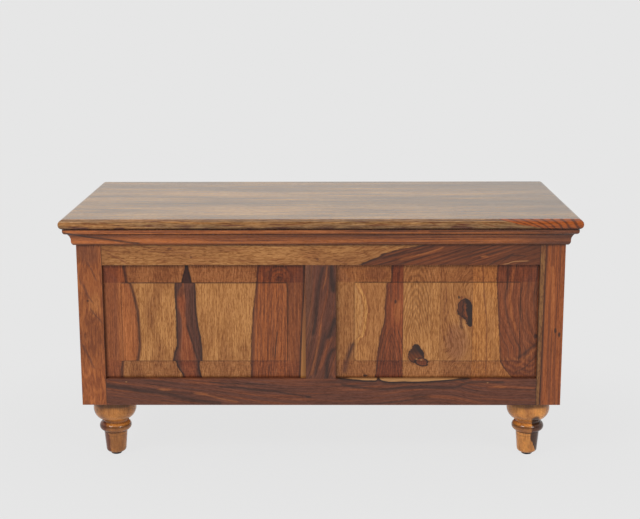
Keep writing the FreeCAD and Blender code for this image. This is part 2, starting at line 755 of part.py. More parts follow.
def make_hinge_leaf(side, owner):
    """One leaf of a butt hinge, with its share of the knuckles round the pin."""
    below = owner == "carcass"
    leaf = new_piece(f"hinge_leaf_{owner}_{side}", f"{SIDES[side]}*hinge_spacing/2",
                     "hinge_line", "hinge_level")
    up = -1 if below else 1
    low, high = sorted((f"{up}*leaf_top", f"{up}*leaf_bottom"), key=number)
    plate = new_sketch(leaf, "YZ_Plane")
    rectangle(plate, "-leaf_reach", low, "0", high)
    pad(leaf, plate, "hinge_length", both_ways=True)
    barrel = new_sketch(leaf, "YZ_Plane")
    circle(barrel, "0", "0", "barrel_diameter/2")
    pad(leaf, barrel, "hinge_length", both_ways=True)
    bore = new_sketch(leaf, "YZ_Plane")
    circle(bore, "0", "0", "hinge_pin_diameter/2 + pin_clearance")
    pocket(leaf, bore, "hinge_length + 2*overrun", both_ways=True)
    gaps = new_sketch(leaf, "XY_Plane")
    reach = "(barrel_diameter/2 + knuckle_clearance)"
    for index in range(1 if below else 0, KNUCKLES, 2):
        start = f"{index}*knuckle - hinge_length/2"
        rectangle(gaps, f"{start} - knuckle_clearance", f"-{reach}",
                  f"{start} + knuckle + knuckle_clearance", reach)
    pocket(leaf, gaps, "2*barrel_diameter", both_ways=True)
    spots = [(f"{step}*hinge_screw_pitch", "-hinge_screw_line") for step in (-1, 0, 1)]
    screw_holes(leaf, "XY_Plane", f"{up}*leaf_top", spots, "leaf_thickness + overrun",
                reverse=not below)


def make_hinge_screws(owner):
    """The screws of both hinges' leaves on the box or on the lid."""
    up = -1 if owner == "carcass" else 1
    screws = new_piece(f"hinge_screws_{owner}", "0", "hinge_line - hinge_screw_line",
                       f"hinge_level + {up}*leaf_top")
    section = new_sketch(screws, "XZ_Plane", x="hinge_spacing/2 - hinge_screw_pitch")
    screw_section(section, "hinge_screw_length", point=up)
    turned(screws, section, "V_Axis")
    repeated(screws, "X_Axis", "2*hinge_screw_pitch", 3)
    mirrored(screws, "YZ_Plane")


def make_hinge_pins():
    """The headed pins of both hinges."""
    pins = new_piece("hinge_pins", "0", "hinge_line", "hinge_level")
    section = new_sketch(pins, "XY_Plane")
    near = "(hinge_spacing/2 - hinge_length/2 - knuckle_clearance)"
    far = "(hinge_spacing/2 + hinge_length/2 + knuckle_clearance)"
    pin = "hinge_pin_diameter/2"
    head = "hinge_pin_head_diameter/2"
    dome = f"(hinge_pin_head_height^2 + ({head})^2)/(2*hinge_pin_head_height)"
    outline(section, [
        (f"{near} - hinge_pin_head_height", "0"),
        (f"{far} + hinge_pin_head_height", "0"),
        (far, head),
        (far, pin),
        (near, pin),
        (near, head),
    ], {1: (dome, 1), 5: (dome, 1)})
    turned(pins, section, "H_Axis")
    mirrored(pins, "YZ_Plane")


def make_batten_screws():
    """The screws that hold both battens to the lid."""
    screws = new_piece("batten_screws", "0", "middle", "lid_bottom - batten_thickness")
    section = new_sketch(screws, "YZ_Plane", "batten_spacing/2", x="-batten_screw_pitch")
    screw_section(section, "batten_screw_length", point=1)
    turned(screws, section, "V_Axis")
    repeated(screws, "Y_Axis", "2*batten_screw_pitch", 3)
    mirrored(screws, "YZ_Plane")


def stay_plate_spots():
    """The screw places of a stay plate above its stud."""
    return [("0", f"stay_plate_screw_rise + {step}*stay_plate_screw_pitch") for step in (0, 1)]


def make_stay_plate(side):
    """The plate on a side rail with the headed stud that the stay's slot runs on."""
    plate = new_piece(f"stay_plate_{side}", f"{SIDES[side]}*stay_wall",
                      "hinge_line - stay_stud_reach", "hinge_level - stay_stud_drop",
                      STAY_ANGLES[side])
    face = new_sketch(plate, "YZ_Plane")
    slot(face, "0", "stay_plate_length - stay_plate_width", "stay_plate_width/2")
    pad(plate, face, "stay_plate_thickness")
    screw_holes(plate, "YZ_Plane", "stay_plate_thickness", stay_plate_spots(),
                "stay_plate_thickness + overrun")
    stud = new_sketch(plate, "XY_Plane")
    collar_end = "stay_offset - stay_clearance"
    head_start = "stay_offset + stay_thickness + stay_clearance"
    head_end = f"{head_start} + stud_head_thickness"
    outline(stud, [
        ("0", "0"),
        (head_end, "0"),
        (head_end, "stud_head_diameter/2"),
        (head_start, "stud_head_diameter/2"),
        (head_start, "stud_diameter/2"),
        (collar_end, "stud_diameter/2"),
        (collar_end, "stud_head_diameter/2"),
        ("0", "stud_head_diameter/2"),
    ])
    turned(plate, stud, "H_Axis")


def make_stay_plate_screws():
    """The screws that hold both stay plates to the side rails."""
    screws = new_piece("stay_plate_screws", "0", "hinge_line - stay_stud_reach",
                       "hinge_level - stay_stud_drop")
    section = new_sketch(screws, "XZ_Plane", x="stay_plate_thickness - stay_wall",
                         y="stay_plate_screw_rise")
    screw_section(section, "stay_plate_screw_length", lying=True)
    turned(screws, section, "H_Axis")
    repeated(screws, "Z_Axis", "stay_plate_screw_pitch", 2)
    mirrored(screws, "YZ_Plane")


def make_stay_bracket(side):
    """The angle bracket under the lid that a stay turns on."""
    bracket = new_piece(f"stay_bracket_{side}", f"{SIDES[side]}*bracket_outer",
                        "hinge_line - stay_lid_reach", "hinge_level - stay_lid_drop",
                        STAY_ANGLES[side])
    flange = new_sketch(bracket, "YZ_Plane")
    rectangle(flange, "-bracket_length/2", "bracket_rise - bracket_thickness",
              "bracket_length/2", "bracket_rise")
    pad(bracket, flange, "bracket_width")
    ear = new_sketch(bracket, "YZ_Plane")
    top = "bracket_rise - bracket_thickness/2"
    outline(ear, [
        ("-bracket_ear_radius", top),
        ("-bracket_ear_radius", "0"),
        ("bracket_ear_radius", "0"),
        ("bracket_ear_radius", top),
    ], {1: (None, 1)})
    pad(bracket, ear, "bracket_thickness")
    eye = new_sketch(bracket, "YZ_Plane")
    circle(eye, "0", "0", "rivet_diameter/2 + pin_clearance")
    pocket(bracket, eye, "bracket_thickness + overrun", reverse=True)
    spots = [("bracket_screw_inset", f"{step}*bracket_screw_pitch/2") for step in (-1, 1)]
    screw_holes(bracket, "XY_Plane", "bracket_rise - bracket_thickness", spots,
                "bracket_thickness + overrun", reverse=True)


def make_stay_bracket_screws():
    """The screws that hold both stay brackets to the lid."""
    screws = new_piece("stay_bracket_screws", "0", "hinge_line - stay_lid_reach",
                       "lid_bottom - bracket_thickness")
    section = new_sketch(screws, "YZ_Plane", "bracket_screw_inset - bracket_outer",
                         x="-bracket_screw_pitch/2")
    screw_section(section, "bracket_screw_length", point=1)
    turned(screws, section, "V_Axis")
    repeated(screws, "Y_Axis", "bracket_screw_pitch", 2)
    mirrored(screws, "YZ_Plane")


def make_stay_rivets():
    """The rivets that join each stay to its bracket."""
    rivets = new_piece("stay_rivets", "0", "hinge_line - stay_lid_reach",
                       "hinge_level - stay_lid_drop")
    section = new_sketch(rivets, "XY_Plane")
    outer = "(stay_outer + stay_clearance)"
    inner = "(bracket_outer - bracket_thickness)"
    head = "rivet_head_diameter/2"
    shank = "rivet_diameter/2"
    dome = f"(rivet_head_thickness^2 + ({head})^2)/(2*rivet_head_thickness)"
    outline(section, [
        (f"{inner} - rivet_head_thickness", "0"),
        (f"{outer} + rivet_head_thickness", "0"),
        (outer, head),
        (outer, shank),
        (inner, shank),
        (inner, head),
    ], {1: (dome, 1), 5: (dome, 1)})
    turned(rivets, section, "H_Axis")
    mirrored(rivets, "YZ_Plane")


def make_stay_arm(side):
    """The slotted arm, hung from its bracket and lying against its stud with the lid shut."""
    arm = new_piece(f"stay_arm_{side}", f"{SIDES[side]}*stay_outer",
                    "hinge_line - stay_lid_reach", "hinge_level - stay_lid_drop")
    lean = "atan(stay_lean/stay_fall)"
    arm.Placement.Rotation = FreeCAD.Rotation(FreeCAD.Vector(1, 0, 0), number(lean))
    bind(arm, "Placement.Rotation.Angle", lean)
    face = new_sketch(arm, "YZ_Plane")
    run = "(stud_diameter/2 + stay_clearance)"
    end = f"stay_open_span + stay_clearance + {run}"
    slot(face, f"-({end})", "0", "stay_width/2")
    slot(face, "-(stay_open_span + stay_clearance)", "-(stay_closed_span - stay_clearance)", run)
    circle(face, "0", "0", "rivet_diameter/2 + pin_clearance")
    pad(arm, face, "stay_thickness", reverse=side == "right")


def make_top_rails():
    """The top rails, with the back one let in for the hinges and the side ones bored for stays."""
    make_rail("front", "top")
    back = make_rail("back", "top")
    cut_leaf_mortises(back, "top_rail_height", -1, "leaf_thickness")
    pilot_holes(back, "XY_Plane", "top_rail_height", hinge_screw_spots("hinge_screw_line - barrel_reach"),
                "hinge_screw_length")
    for side, along in SIDES.items():
        rail = make_rail(side, "top")
        stud_line = f"{along}*(hinge_line - stay_stud_reach - middle)"
        stud_level = "hinge_level - stay_stud_drop - carcass_top + top_rail_height"
        spots = [(stud_line, f"{stud_level} + {rise}") for _, rise in stay_plate_spots()]
        pilot_holes(rail, "XZ_Plane", "-rail_thickness", spots,
                    "stay_plate_screw_length - stay_plate_thickness", reverse=True)


def make_panels():
    """Two raised panels in front, one on each side, and two flat ones at the back."""
    half_span = "(carcass_width - 2*post_width - muntin_width)/2"
    shift = f"(muntin_width/2 + {half_span}/2)"
    for side, along in SIDES.items():
        make_panel(f"panel_front_{side}", "front", f"{along}*{shift}", half_span, True)
        make_panel(f"panel_back_{side}", "back", f"{along}*{shift}", half_span, False)
        make_panel(f"panel_{side}", side, "0", "carcass_depth - 2*post_width", True)


def make_carcass():
    """The box, its feet and what is screwed to it."""
    for corner in CORNERS:
        make_post(corner)
        make_corner_block(corner)
        make_foot(corner)
    make_foot_bolts()
    make_foot_glides()
    for wall in WALLS:
        make_rail(wall, "bottom")
        make_ledger(wall)
    make_top_rails()
    make_muntin("front")
    make_muntin("back")
    make_panels()
    make_floor()
    make_cornice("front", ("left", "right"))
    make_cornice("left", ("right",))
    make_cornice("right", ("left",))


def make_hardware():
    """The hinges and the lid stays."""
    for side in SIDES:
        make_hinge_leaf(side, "carcass")
        make_hinge_leaf(side, "lid")
        make_stay_plate(side)
        make_stay_bracket(side)
        make_stay_arm(side)
    make_hinge_pins()
    make_hinge_screws("carcass")
    make_hinge_screws("lid")
    make_stay_plate_screws()
    make_stay_bracket_screws()
    make_stay_rivets()


def check_pieces():
    """Stop if any object failed or any piece has no sound shape."""
    for item in document.Objects:
        if {"Invalid", "Error"} & set(item.State):
            raise RuntimeError(f"{item.Label} failed: {item.State}")
    for piece in pieces:
        if piece.Shape.isNull() or not piece.Shape.isValid():
            raise RuntimeError(f"{piece.Label} has no sound shape")


def write_pieces():
    """Write each piece to a file of its own name."""
    os.makedirs("parts", exist_ok=True)
    for piece in pieces:
        piece.Shape.exportStep(f"parts/{piece.Label}.step")


fill_sheet()
make_carcass()
make_lid()
for lid_side in SIDES:
    make_batten(lid_side)
make_batten_screws()
make_hardware()
document.recompute()
check_pieces()
write_pieces()
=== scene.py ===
"""The wooden trunk dressed for its picture: lacquered rosewood, brass and steel, a studio and a camera.

Node objects sit at the origin, so a material's object coordinates are places in the trunk at rest.
Materials count in millimetres; objects, lamps and the camera are in metres.
"""
import math
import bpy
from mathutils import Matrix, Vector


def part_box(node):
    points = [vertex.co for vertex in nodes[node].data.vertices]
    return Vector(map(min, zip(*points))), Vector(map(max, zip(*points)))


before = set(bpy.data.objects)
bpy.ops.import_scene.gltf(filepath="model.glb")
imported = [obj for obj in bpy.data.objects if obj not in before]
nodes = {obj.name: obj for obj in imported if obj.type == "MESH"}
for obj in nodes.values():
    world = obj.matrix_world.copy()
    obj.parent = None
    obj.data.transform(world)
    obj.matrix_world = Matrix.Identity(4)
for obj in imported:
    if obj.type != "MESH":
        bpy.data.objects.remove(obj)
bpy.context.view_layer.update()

from types import SimpleNamespace

import bpy
from mathutils import Matrix, Vector

# Wood colours, linear
SAPWOOD = (0.47, 0.225, 0.08)
STRAW = (0.53, 0.235, 0.062)
GOLD = (0.41, 0.168, 0.044)
BRIGHT_GOLD = (0.43, 0.162, 0.036)
APRICOT = (0.43, 0.15, 0.038)
HONEY = (0.325, 0.122, 0.031)
TAN = (0.34, 0.122, 0.046)
OLIVE = (0.265, 0.133, 0.05)
HAZEL = (0.255, 0.092, 0.037)
TAWNY = (0.385, 0.106, 0.022)
AMBER = (0.35, 0.104, 0.025)
ORANGE = (0.345, 0.089, 0.018)
FLAME = (0.33, 0.074, 0.012)
COPPER = (0.285, 0.078, 0.02)
SCARLET = (0.265, 0.06, 0.0145)
EMBER = (0.262, 0.058, 0.0145)
RUSSET = (0.25, 0.064, 0.0165)
DRIFTWOOD = (0.165, 0.068, 0.03)
CHESTNUT = (0.165, 0.042, 0.013)
MAROON = (0.155, 0.035, 0.009)
CHOCOLATE = (0.112, 0.034, 0.017)
UMBER = (0.028, 0.012, 0.008)
LID_DARK, LID_PALE = (0.16, 0.08, 0.025), (0.38, 0.196, 0.058)
FOOT_GOLD, FOOT_PALE, FOOT_DARK = (0.58, 0.224, 0.05), (0.75, 0.3, 0.066), (0.05, 0.021, 0.013)
WHITE = (1, 1, 1)

# Other colours, linear
BRASS, OLD_BRASS = (0.62, 0.42, 0.17), (0.25, 0.14, 0.05)
ZINC, DULL_ZINC = (0.56, 0.56, 0.55), (0.25, 0.24, 0.22)
PLASTIC, SCUFFED = (0.01, 0.01, 0.011), (0.035, 0.034, 0.033)
FLOOR_GREY, FLOOR_PALE = (0.66, 0.66, 0.66), (0.7, 0.7, 0.7)

# How bright the backdrop is
PALE = 0.791

# Millimetres in a metre
MILLIMETRES = 1000

# The raised field of each panel in millimetres: its two sides, its foot and its top
LEFT_FIELD = (-354.5, -60, 191.5, 335)
RIGHT_FIELD = (60, 354.5, 191.5, 336)
SIDE_FIELD = (-124, 142, 191.5, 335)

# How wide a raised panel's bevelled margin is, and how soft an edge between two colours is
MARGIN, EDGE = 33, 0.4

# Where the rails meet the posts, and the glue lines of the right panel's gold staves
JOINT = 387.5
FIRST_GLUE, SECOND_GLUE, THIRD_GLUE = 147, 213, 270

# Levels of the cornice and the lid
CORNICE_FOOT, CORNICE_HOLLOW, CORNICE_STEP, CORNICE_QUIRK, CORNICE_TOP = 405.5, 412.5, 420, 425.2, 435
LID_UNDER, LID_ARRIS, LID_TOP = 435.4, 451.6, 453.4

# Painted shade lines in the grooves and under the rims of a foot: level, width and strength
FOOT_SHADE_LINES = ((38.6, 1.2, 0.35), (45.2, 1.8, 0.8), (57.5, 4, 0.6), (65, 3, 0.4))

# How long a vein takes to fade in and out, and the line of a plain glue joint
FADE = 4
NO_LINE = (0, 0, 0)


def step(operation, turned=False):
    """One kind of step in a sum, with its two values turned round or not."""
    def work_out(shade, *other):
        values = (*other, shade) if turned else (shade, *other)
        return shade.sheet.sum(operation, *values)
    return work_out


class Shade:
    """A number or colour that varies over a surface and can be used in sums."""

    __add__ = step("ADD")
    __radd__ = step("ADD", turned=True)
    __sub__ = step("SUBTRACT")
    __rsub__ = step("SUBTRACT", turned=True)
    __mul__ = step("MULTIPLY")
    __truediv__ = step("DIVIDE")
    __pow__ = step("POWER")
    __abs__ = step("ABSOLUTE")

    def __init__(self, sheet, socket):
        self.sheet = sheet
        self.socket = socket


class Sheet:
    """The node tree of a material or of the world, drawn on by the functions below."""

    def __init__(self, owner, place="Object"):
        self.owner = owner
        owner.use_nodes = True
        self.tree = owner.node_tree
        self.shader = self.tree.nodes.get("Principled BSDF")
        where = self.node("ShaderNodeTexCoord", {}, {}, place)
        parts = self.node("ShaderNodeSeparateXYZ", {}, {"Vector": where}).socket.node.outputs
        self.x, self.y, self.z = (Shade(self, parts[axis])*MILLIMETRES for axis in "XYZ")

    def node(self, kind, settings, sockets, out=0):
        """Add a node, set it up, feed its sockets, and give one of its outputs."""
        node = self.tree.nodes.new(kind)
        for name, value in settings.items():
            setattr(node, name, value)
        for name, value in sockets.items():
            self.feed(node.inputs[name], value)
        return Shade(self, node.outputs[out])

    def feed(self, socket, value):
        """Give a socket a shade, a number or a colour."""
        if isinstance(value, Shade):
            self.tree.links.new(value.socket, socket)
        elif isinstance(value, tuple) and len(value) < len(socket.default_value):
            socket.default_value = (*value, 1)
        else:
            socket.default_value = value

    def sum(self, operation, *values):
        """Work out one step of a sum."""
        return self.node("ShaderNodeMath", {"operation": operation}, dict(enumerate(values)))


def rise(value, low, high):
    """Rise gently from 0 at low to 1 at high."""
    return value.sheet.node("ShaderNodeMapRange", {"interpolation_type": "SMOOTHSTEP"},
                            {"Value": value, "From Min": low, "From Max": high})


def fall(value, low, high):
    """Fall gently from 1 at low to 0 at high."""
    return 1 - rise(value, low, high)


def band(value, low, high, soft):
    """1 between low and high, fading out over a soft distance."""
    return rise(value, low - soft, low + soft)*fall(value, high - soft, high + soft)


def line(distance, width):
    """1 on a line, fading out within a width on both sides."""
    return fall(abs(distance), 0, width)


def wave(value):
    """Swing between 0 and 1 as a value rises."""
    return value.sheet.sum("SINE", value)*0.5 + 0.5


def largest(one, other):
    """The larger of two numbers."""
    return one.sheet.sum("MAXIMUM", one, other)


def smallest(one, other):
    """The smaller of two numbers."""
    return one.sheet.sum("MINIMUM", one, other)


def oval(x, z, half_x, half_z):
    """1 in the middle of an oval about the origin, 0 on its rim and less outside."""
    return 1 - (x/half_x)**2 - (z/half_z)**2


def arch(x, drop, spread, blunt):
    """Count the lines of an arched figure outwards from its middle line; drop runs down from its top."""
    return (x*x - drop*spread)/(abs(x) + blunt)


def vector(x, y, z):
    """Put three numbers together."""
    return x.sheet.node("ShaderNodeCombineXYZ", {}, {"X": x, "Y": y, "Z": z})


def noise(x, y, z, detail=2, roughness=0.5, distortion=0):
    """Cloudy numbers about 0.5 with features of about one unit."""
    return x.sheet.node("ShaderNodeTexNoise", {}, {
        "Vector": vector(x, y, z), "Scale": 1, "Detail": detail,
        "Roughness": roughness, "Distortion": distortion}, "Fac")


def mix(under, over, share):
    """Lay one colour over another."""
    return share.sheet.node("ShaderNodeMix", {"data_type": "RGBA"}, {0: share, 6: under, 7: over}, 2)


def layers(colour, coats):
    """Lay several colours over one: each a colour and its share."""
    for tone, share in coats:
        colour = mix(colour, tone, share)
    return colour


def blend(under, over, share):
    """Go from one number to another."""
    return under + (over - under)*share


def scale(colour, level):
    """Lighten or darken a colour."""
    if isinstance(colour, tuple) and not isinstance(level, Shade):
        return tuple(part*level for part in colour)
    sheet = (level if isinstance(level, Shade) else colour).sheet
    return sheet.node("ShaderNodeVectorMath", {"operation": "SCALE"}, {"Vector": colour, "Scale": level})


def stain(colour, tint):
    """Multiply a colour by another."""
    return tint.sheet.node("ShaderNodeVectorMath", {"operation": "MULTIPLY"}, {0: colour, 1: tint})


def path(value, points):
    """A smooth line through points: what it reads is the first of each pair, what it gives the second."""
    first, last = points[0][0], points[-1][0]
    heights = [height for _, height in points]
    low = min(heights) - 1
    reach = max(heights) + 1 - low
    curve = value.sheet.node("ShaderNodeFloatCurve", {}, {"Value": (value - first)/(last - first)})
    mapping = curve.socket.node.mapping
    handles = mapping.curves[0].points
    while len(handles) < len(points):
        handles.new(0.5, 0.5)
    for handle, (reading, height) in zip(handles, points):
        handle.location = ((reading - first)/(last - first), (height - low)/reach)
        handle.handle_type = "AUTO_CLAMPED"
    mapping.update()
    return curve*reach + low


def veins(colour, along, across, lines):
    """Draw soft lines that fade out: each a colour, a width, a strength and points, along the grain first."""
    for tone, width, strength, *points in lines:
        shown = band(along, points[0][0], points[-1][0], FADE)*strength
        colour = mix(colour, tone, line(across - path(along, points), width)*shown)
    return colour


def spots(colour, x, z, marks):
    """Lay soft oval spots over a colour: each a colour, its middle, its half sizes and its strength."""
    for tone, middle_x, middle_z, half_x, half_z, strength in marks:
        shown = rise(oval(x - middle_x, z - middle_z, half_x, half_z), -0.2, 0.8)
        colour = mix(colour, tone, shown*strength)
    return colour


def finish(colour, roughness, relief, depth, metallic=0, sheen=0.4):
    """Wire up the surface: colour, roughness, relief in millimetres, metal or not, and how it mirrors."""
    sheet = colour.sheet
    bump = sheet.node("ShaderNodeBump", {}, {"Height": relief, "Distance": depth/MILLIMETRES, "Strength": 1})
    for name, value in (("Base Color", colour), ("Roughness", roughness), ("Normal", bump),
                        ("Metallic", metallic), ("Specular IOR Level", sheen)):
        sheet.feed(sheet.shader.inputs[name], value)
    return sheet.owner


def surface(name, axes="xyz"):
    """A new material to draw on: its places in millimetres, in the order asked for."""
    sheet = Sheet(bpy.data.materials.new(name))
    return [getattr(sheet, axis) for axis in axes]


def grain_of(along, across, depth, seed, wander=10):
    """The grain of one board: long fibres, short flecks, pores and clouds that follow its run."""
    shift = seed*7.31
    bend = (noise(along/150 + shift, across/50, depth/50, 1) - 0.5)*wander
    side = across + bend
    ticks = noise(along/6 + shift, side/0.7, depth/0.7, 0)
    fleck = noise(along/9 + shift, side/1.5, depth/1.5, 1, 0.5, 0.3)
    return SimpleNamespace(
        side=side,
        fibre=noise(along/50 + shift, side/1.7, depth/1.7, 2, 0.6),
        fleck=fleck,
        dash=rise(fleck, 0.47, 0.59),
        pores=rise(ticks, 0.58, 0.72),
        cloud=noise(along/100 + shift, side/32, depth/32, 2, 0.5))


def show_grain(wood, grain, dash=0.36, fibre=1.3, cloud=0.35, pores=0.2):
    """Let the grain lighten a colour towards yellow and darken it towards red."""
    level = (1.03 + (0.45 - grain.dash)*dash + (grain.fibre - 0.5)*fibre
             + (grain.cloud - 0.5)*cloud - grain.pores*pores)
    return stain(wood, vector(level, level**1.4, level**2))


def lacquer(wood, grain, gloss=0.3):
    """A satin lacquer over open pores."""
    roughness = gloss + (grain.cloud - 0.5)*0.12 + grain.pores*0.08
    relief = grain.fibre*0.35 - grain.pores*0.65
    return finish(wood, roughness, relief, 0.04)


def zones(wood, steps):
    """Lay colours over each other, each beyond its own wandering edge with a dark line on the edge.

    A step is the distance past the edge, the colour there, how soft the edge is, and the line's
    width, its place from the edge and its strength.
    """
    for past, beyond, soft, (width, place, strength) in steps:
        wood = mix(wood, beyond, rise(past, -soft, soft))
        if width:
            wood = mix(wood, UMBER, line(past - place, width)*strength)
    return wood


def panel_edges(wood, across, z, field, ruddy=(0.86, 0.7, 0.74), warm=(1.07, 0.97, 0.99)):
    """Darken the margins of a raised panel, where the bevel cuts the fibres, paint shade in the recess along
    the frame, and darken the edges of its field.
    """
    left, right, foot, top = field
    level = band(z, foot, top, EDGE)
    inside = band(across, left, right, EDGE)*level
    marks = noise(across/9, z/2.2, 0, 2)
    margin = (1 - inside)*(0.07 + (1 - level)*(0.13 + (marks - 0.5)*0.55))
    wood = scale(wood, 1 - margin)
    wood = stain(wood, mix(WHITE, ruddy, rise(z, top - EDGE, top + EDGE)))
    wood = stain(wood, mix(warm, WHITE, rise(z, foot - EDGE, foot + EDGE)))
    # Painted shade in the recess where the panel meets the frame, a little less on the right-hand side
    near_sides = smallest(across - left + MARGIN, right + MARGIN + 1.6 - across)
    near_ends = smallest((z - foot + MARGIN)*0.7, top + MARGIN - z)
    clear_of_recess_shade = rise(smallest(near_sides, near_ends), 0, 3.4)
    wood = mix(UMBER, wood, 0.35 + clear_of_recess_shade*0.65)
    # Dark lines on the edges of the field: partly painted shade of the shoulder, partly dirt
    ends = line(z - top, 1.5)*0.75 + line(z - foot, 1.2)*0.5
    wood = mix(wood, UMBER, ends*band(across, left, right, 1))
    sides = line(across - right - 0.5, 1.4)*0.6 + line(across - left + 0.5, 1.2)*0.4
    return mix(wood, UMBER, sides*band(z, foot, top, 1))


def amber_stave(x, z, ragged, strands):
    """The outer stave of the left panel: strands of amber."""
    light = scale(AMBER, 1.12)
    wood = mix(COPPER, AMBER, rise(x, -365, -357))
    wood = veins(wood, z, ragged, [(CHESTNUT, 5, 0.45, (165, -368), (260, -367), (362, -365))])
    wood = spots(wood, x, z, [(light, -346, 232, 12, 60, 0.7)])
    wood = mix(wood, CHESTNUT, fall(strands, 0.36, 0.52)*0.34)
    wood = mix(wood, scale(AMBER, 1.25), rise(strands, 0.54, 0.68)*0.5)
    return veins(wood, z, ragged, [
        (RUSSET, 8, 0.5, (200, -331), (250, -331), (300, -336), (334, -343))])


def heart_stripe(x, z, grain, ragged):
    """The dark heart stripe of the left panel with its red core."""
    core = abs(ragged - path(z, [
        (160, -236), (200, -239.5), (230, -241), (245, -242.5), (260, -244), (272, -245), (285, -247),
        (297, -248), (313, -248), (330, -245), (370, -240)]))
    core = core/path(z, [
        (160, 13), (192, 16.5), (200, 16.5), (215, 13.5), (230, 11), (245, 7.5), (260, 5), (272, 4.5),
        (285, 7), (297, 8.5), (313, 7.5), (325, 4.5), (336, 1.2), (370, 1)])
    ember = mix(EMBER, AMBER, rise(grain.fibre, 0.42, 0.6)*0.45)
    wood = mix(CHOCOLATE, ember, fall(core, 0.4, 1.2)*0.82)
    wood = veins(wood, z, ragged, [
        (UMBER, 5.5, 0.45, (195, -217), (215, -220), (240, -226), (270, -230), (300, -230), (330, -229)),
        (UMBER, 3.4, 0.8, (193, -221), (215, -227), (240, -234), (258, -239))])
    wood = mix(wood, UMBER, rise(z, 334, 337)*0.65)
    return spots(wood, x, z, [(UMBER, -250, 322, 9, 16, 0.45)])


def arched_stave(x, z, grain, strands):
    """The inner stave of the left panel: russet with an arched figure and hoops over it."""
    figure = wave(arch(x + 71, 331 - z, 5.6, 12)*0.8 + grain.cloud*9 + strands*4)
    share = figure*0.34 + rise(strands, 0.41, 0.59)*0.56
    wood = mix(scale(CHESTNUT, 0.98), TAWNY, share)
    lift = largest(z - 338, 0)
    for half_x, half_z in ((5, 7), (10, 13), (16, 20), (23, 27)):
        hoop = line(oval(x + 74 + (strands - 0.5)*16, lift, half_x, half_z), 0.34)
        wood = mix(wood, UMBER, hoop*rise(z, 335, 337)*0.5)
    wood = spots(wood, x, z, [(UMBER, -74, 341, 6, 8, 0.5)])
    return mix(wood, CHESTNUT, rise(x, -62, -56)*0.45)


def left_front_panel():
    """An amber stave, gold, a dark heart stripe with a red core, gold, and russet with an arched figure."""
    x, y, z = surface("left front panel")
    grain = grain_of(z, x, y, 1, 5)
    ragged = x + (grain.fleck - 0.5)*3
    strands = noise(z/150, ragged/3.2, 5, 2.5, 0.6)
    first = ragged - path(z, [
        (160, -357), (180, -355), (191, -353), (192, -326.5), (207, -323.5), (218, -321.8), (245, -322.3),
        (275, -323.5), (290, -325.3), (305, -328), (320, -331.5), (334.5, -336), (335.5, -342.2),
        (350, -344.5), (370, -348)])
    heart = ragged - path(z, [
        (160, -249), (166, -250.5), (170, -253), (175, -256), (182, -259), (191, -261), (192, -265),
        (202, -264.3), (210, -262), (217, -259), (225, -258.3), (260, -258.3), (300, -259.3),
        (334.5, -259.5), (335.5, -247.6), (345, -245.5), (355, -242.5), (370, -240)])
    after_heart = ragged - path(z, [
        (160, -214.5), (170, -217), (182, -218.5), (191, -217.5), (192, -212.5), (217, -213), (235, -215),
        (260, -219), (290, -221.5), (334.5, -223), (335.5, -228.7), (345, -230.5), (355, -233), (370, -236)])
    second = ragged - path(z, [
        (160, -126.5), (192, -126), (215, -125), (245, -123.5), (275, -121.5), (290, -120), (305, -118),
        (320, -116.2), (335, -114.5), (350, -113.5), (370, -110.5)])
    sap = x + (grain.fleck - 0.5) - path(z, [
        (160, -36.3), (195, -35), (220, -34), (245, -33), (270, -31.8), (295, -30), (320, -28.5), (370, -27)])
    gold = show_grain(mix(HONEY, GOLD, rise(grain.cloud, 0.36, 0.58)), grain)
    amber = show_grain(amber_stave(x, z, ragged, strands), grain, 0.24, 1.4)
    heartwood = show_grain(heart_stripe(x, z, grain, ragged), grain, 0.24, 1.4)
    arched = show_grain(arched_stave(x, z, grain, strands), grain, 0.24, 1.4)
    wood = zones(amber, [
        (first, gold, 0.8, (5, -2.8, 0.8)),
        (heart, heartwood, 0.8, (3.2, 1.4, 0.9)),
        (after_heart, gold, 0.8, (3.6, -1.8, 0.85)),
        (second, arched, 0.8, (3.2, 1.4, 0.7))])
    wood = veins(wood, z, ragged, [
        (CHOCOLATE, 5, 0.45, (160, -122), (192, -121), (245, -119), (290, -116))])
    # Dark veins, and at x -58 a dark line on the field's right edge: partly painted shade of the shoulder,
    # partly dirt
    wood = veins(wood, z, x, [
        (UMBER, 1.7, 0.85, (197, -82.5), (215, -81), (230, -79.5), (246, -78)),
        (UMBER, 1.3, 0.7, (199, -87), (207, -86), (216, -86)),
        (UMBER, 1.6, 0.7, (262, -58.5), (300, -58), (335, -58)),
        (UMBER, 1.6, 0.6, (163, -90), (172, -92), (184, -93)),
        (SAPWOOD, 1.3, 0.5, (163, -82), (168, -81), (176, -79))])
    wood = panel_edges(wood, x, z, LEFT_FIELD)
    strip = mix(scale(GOLD, 1.04), TAN, rise(z, 190, 300))
    return lacquer(zones(wood, [(sap, strip, 0.8, (2.6, -1.8, 0.8))]), grain)


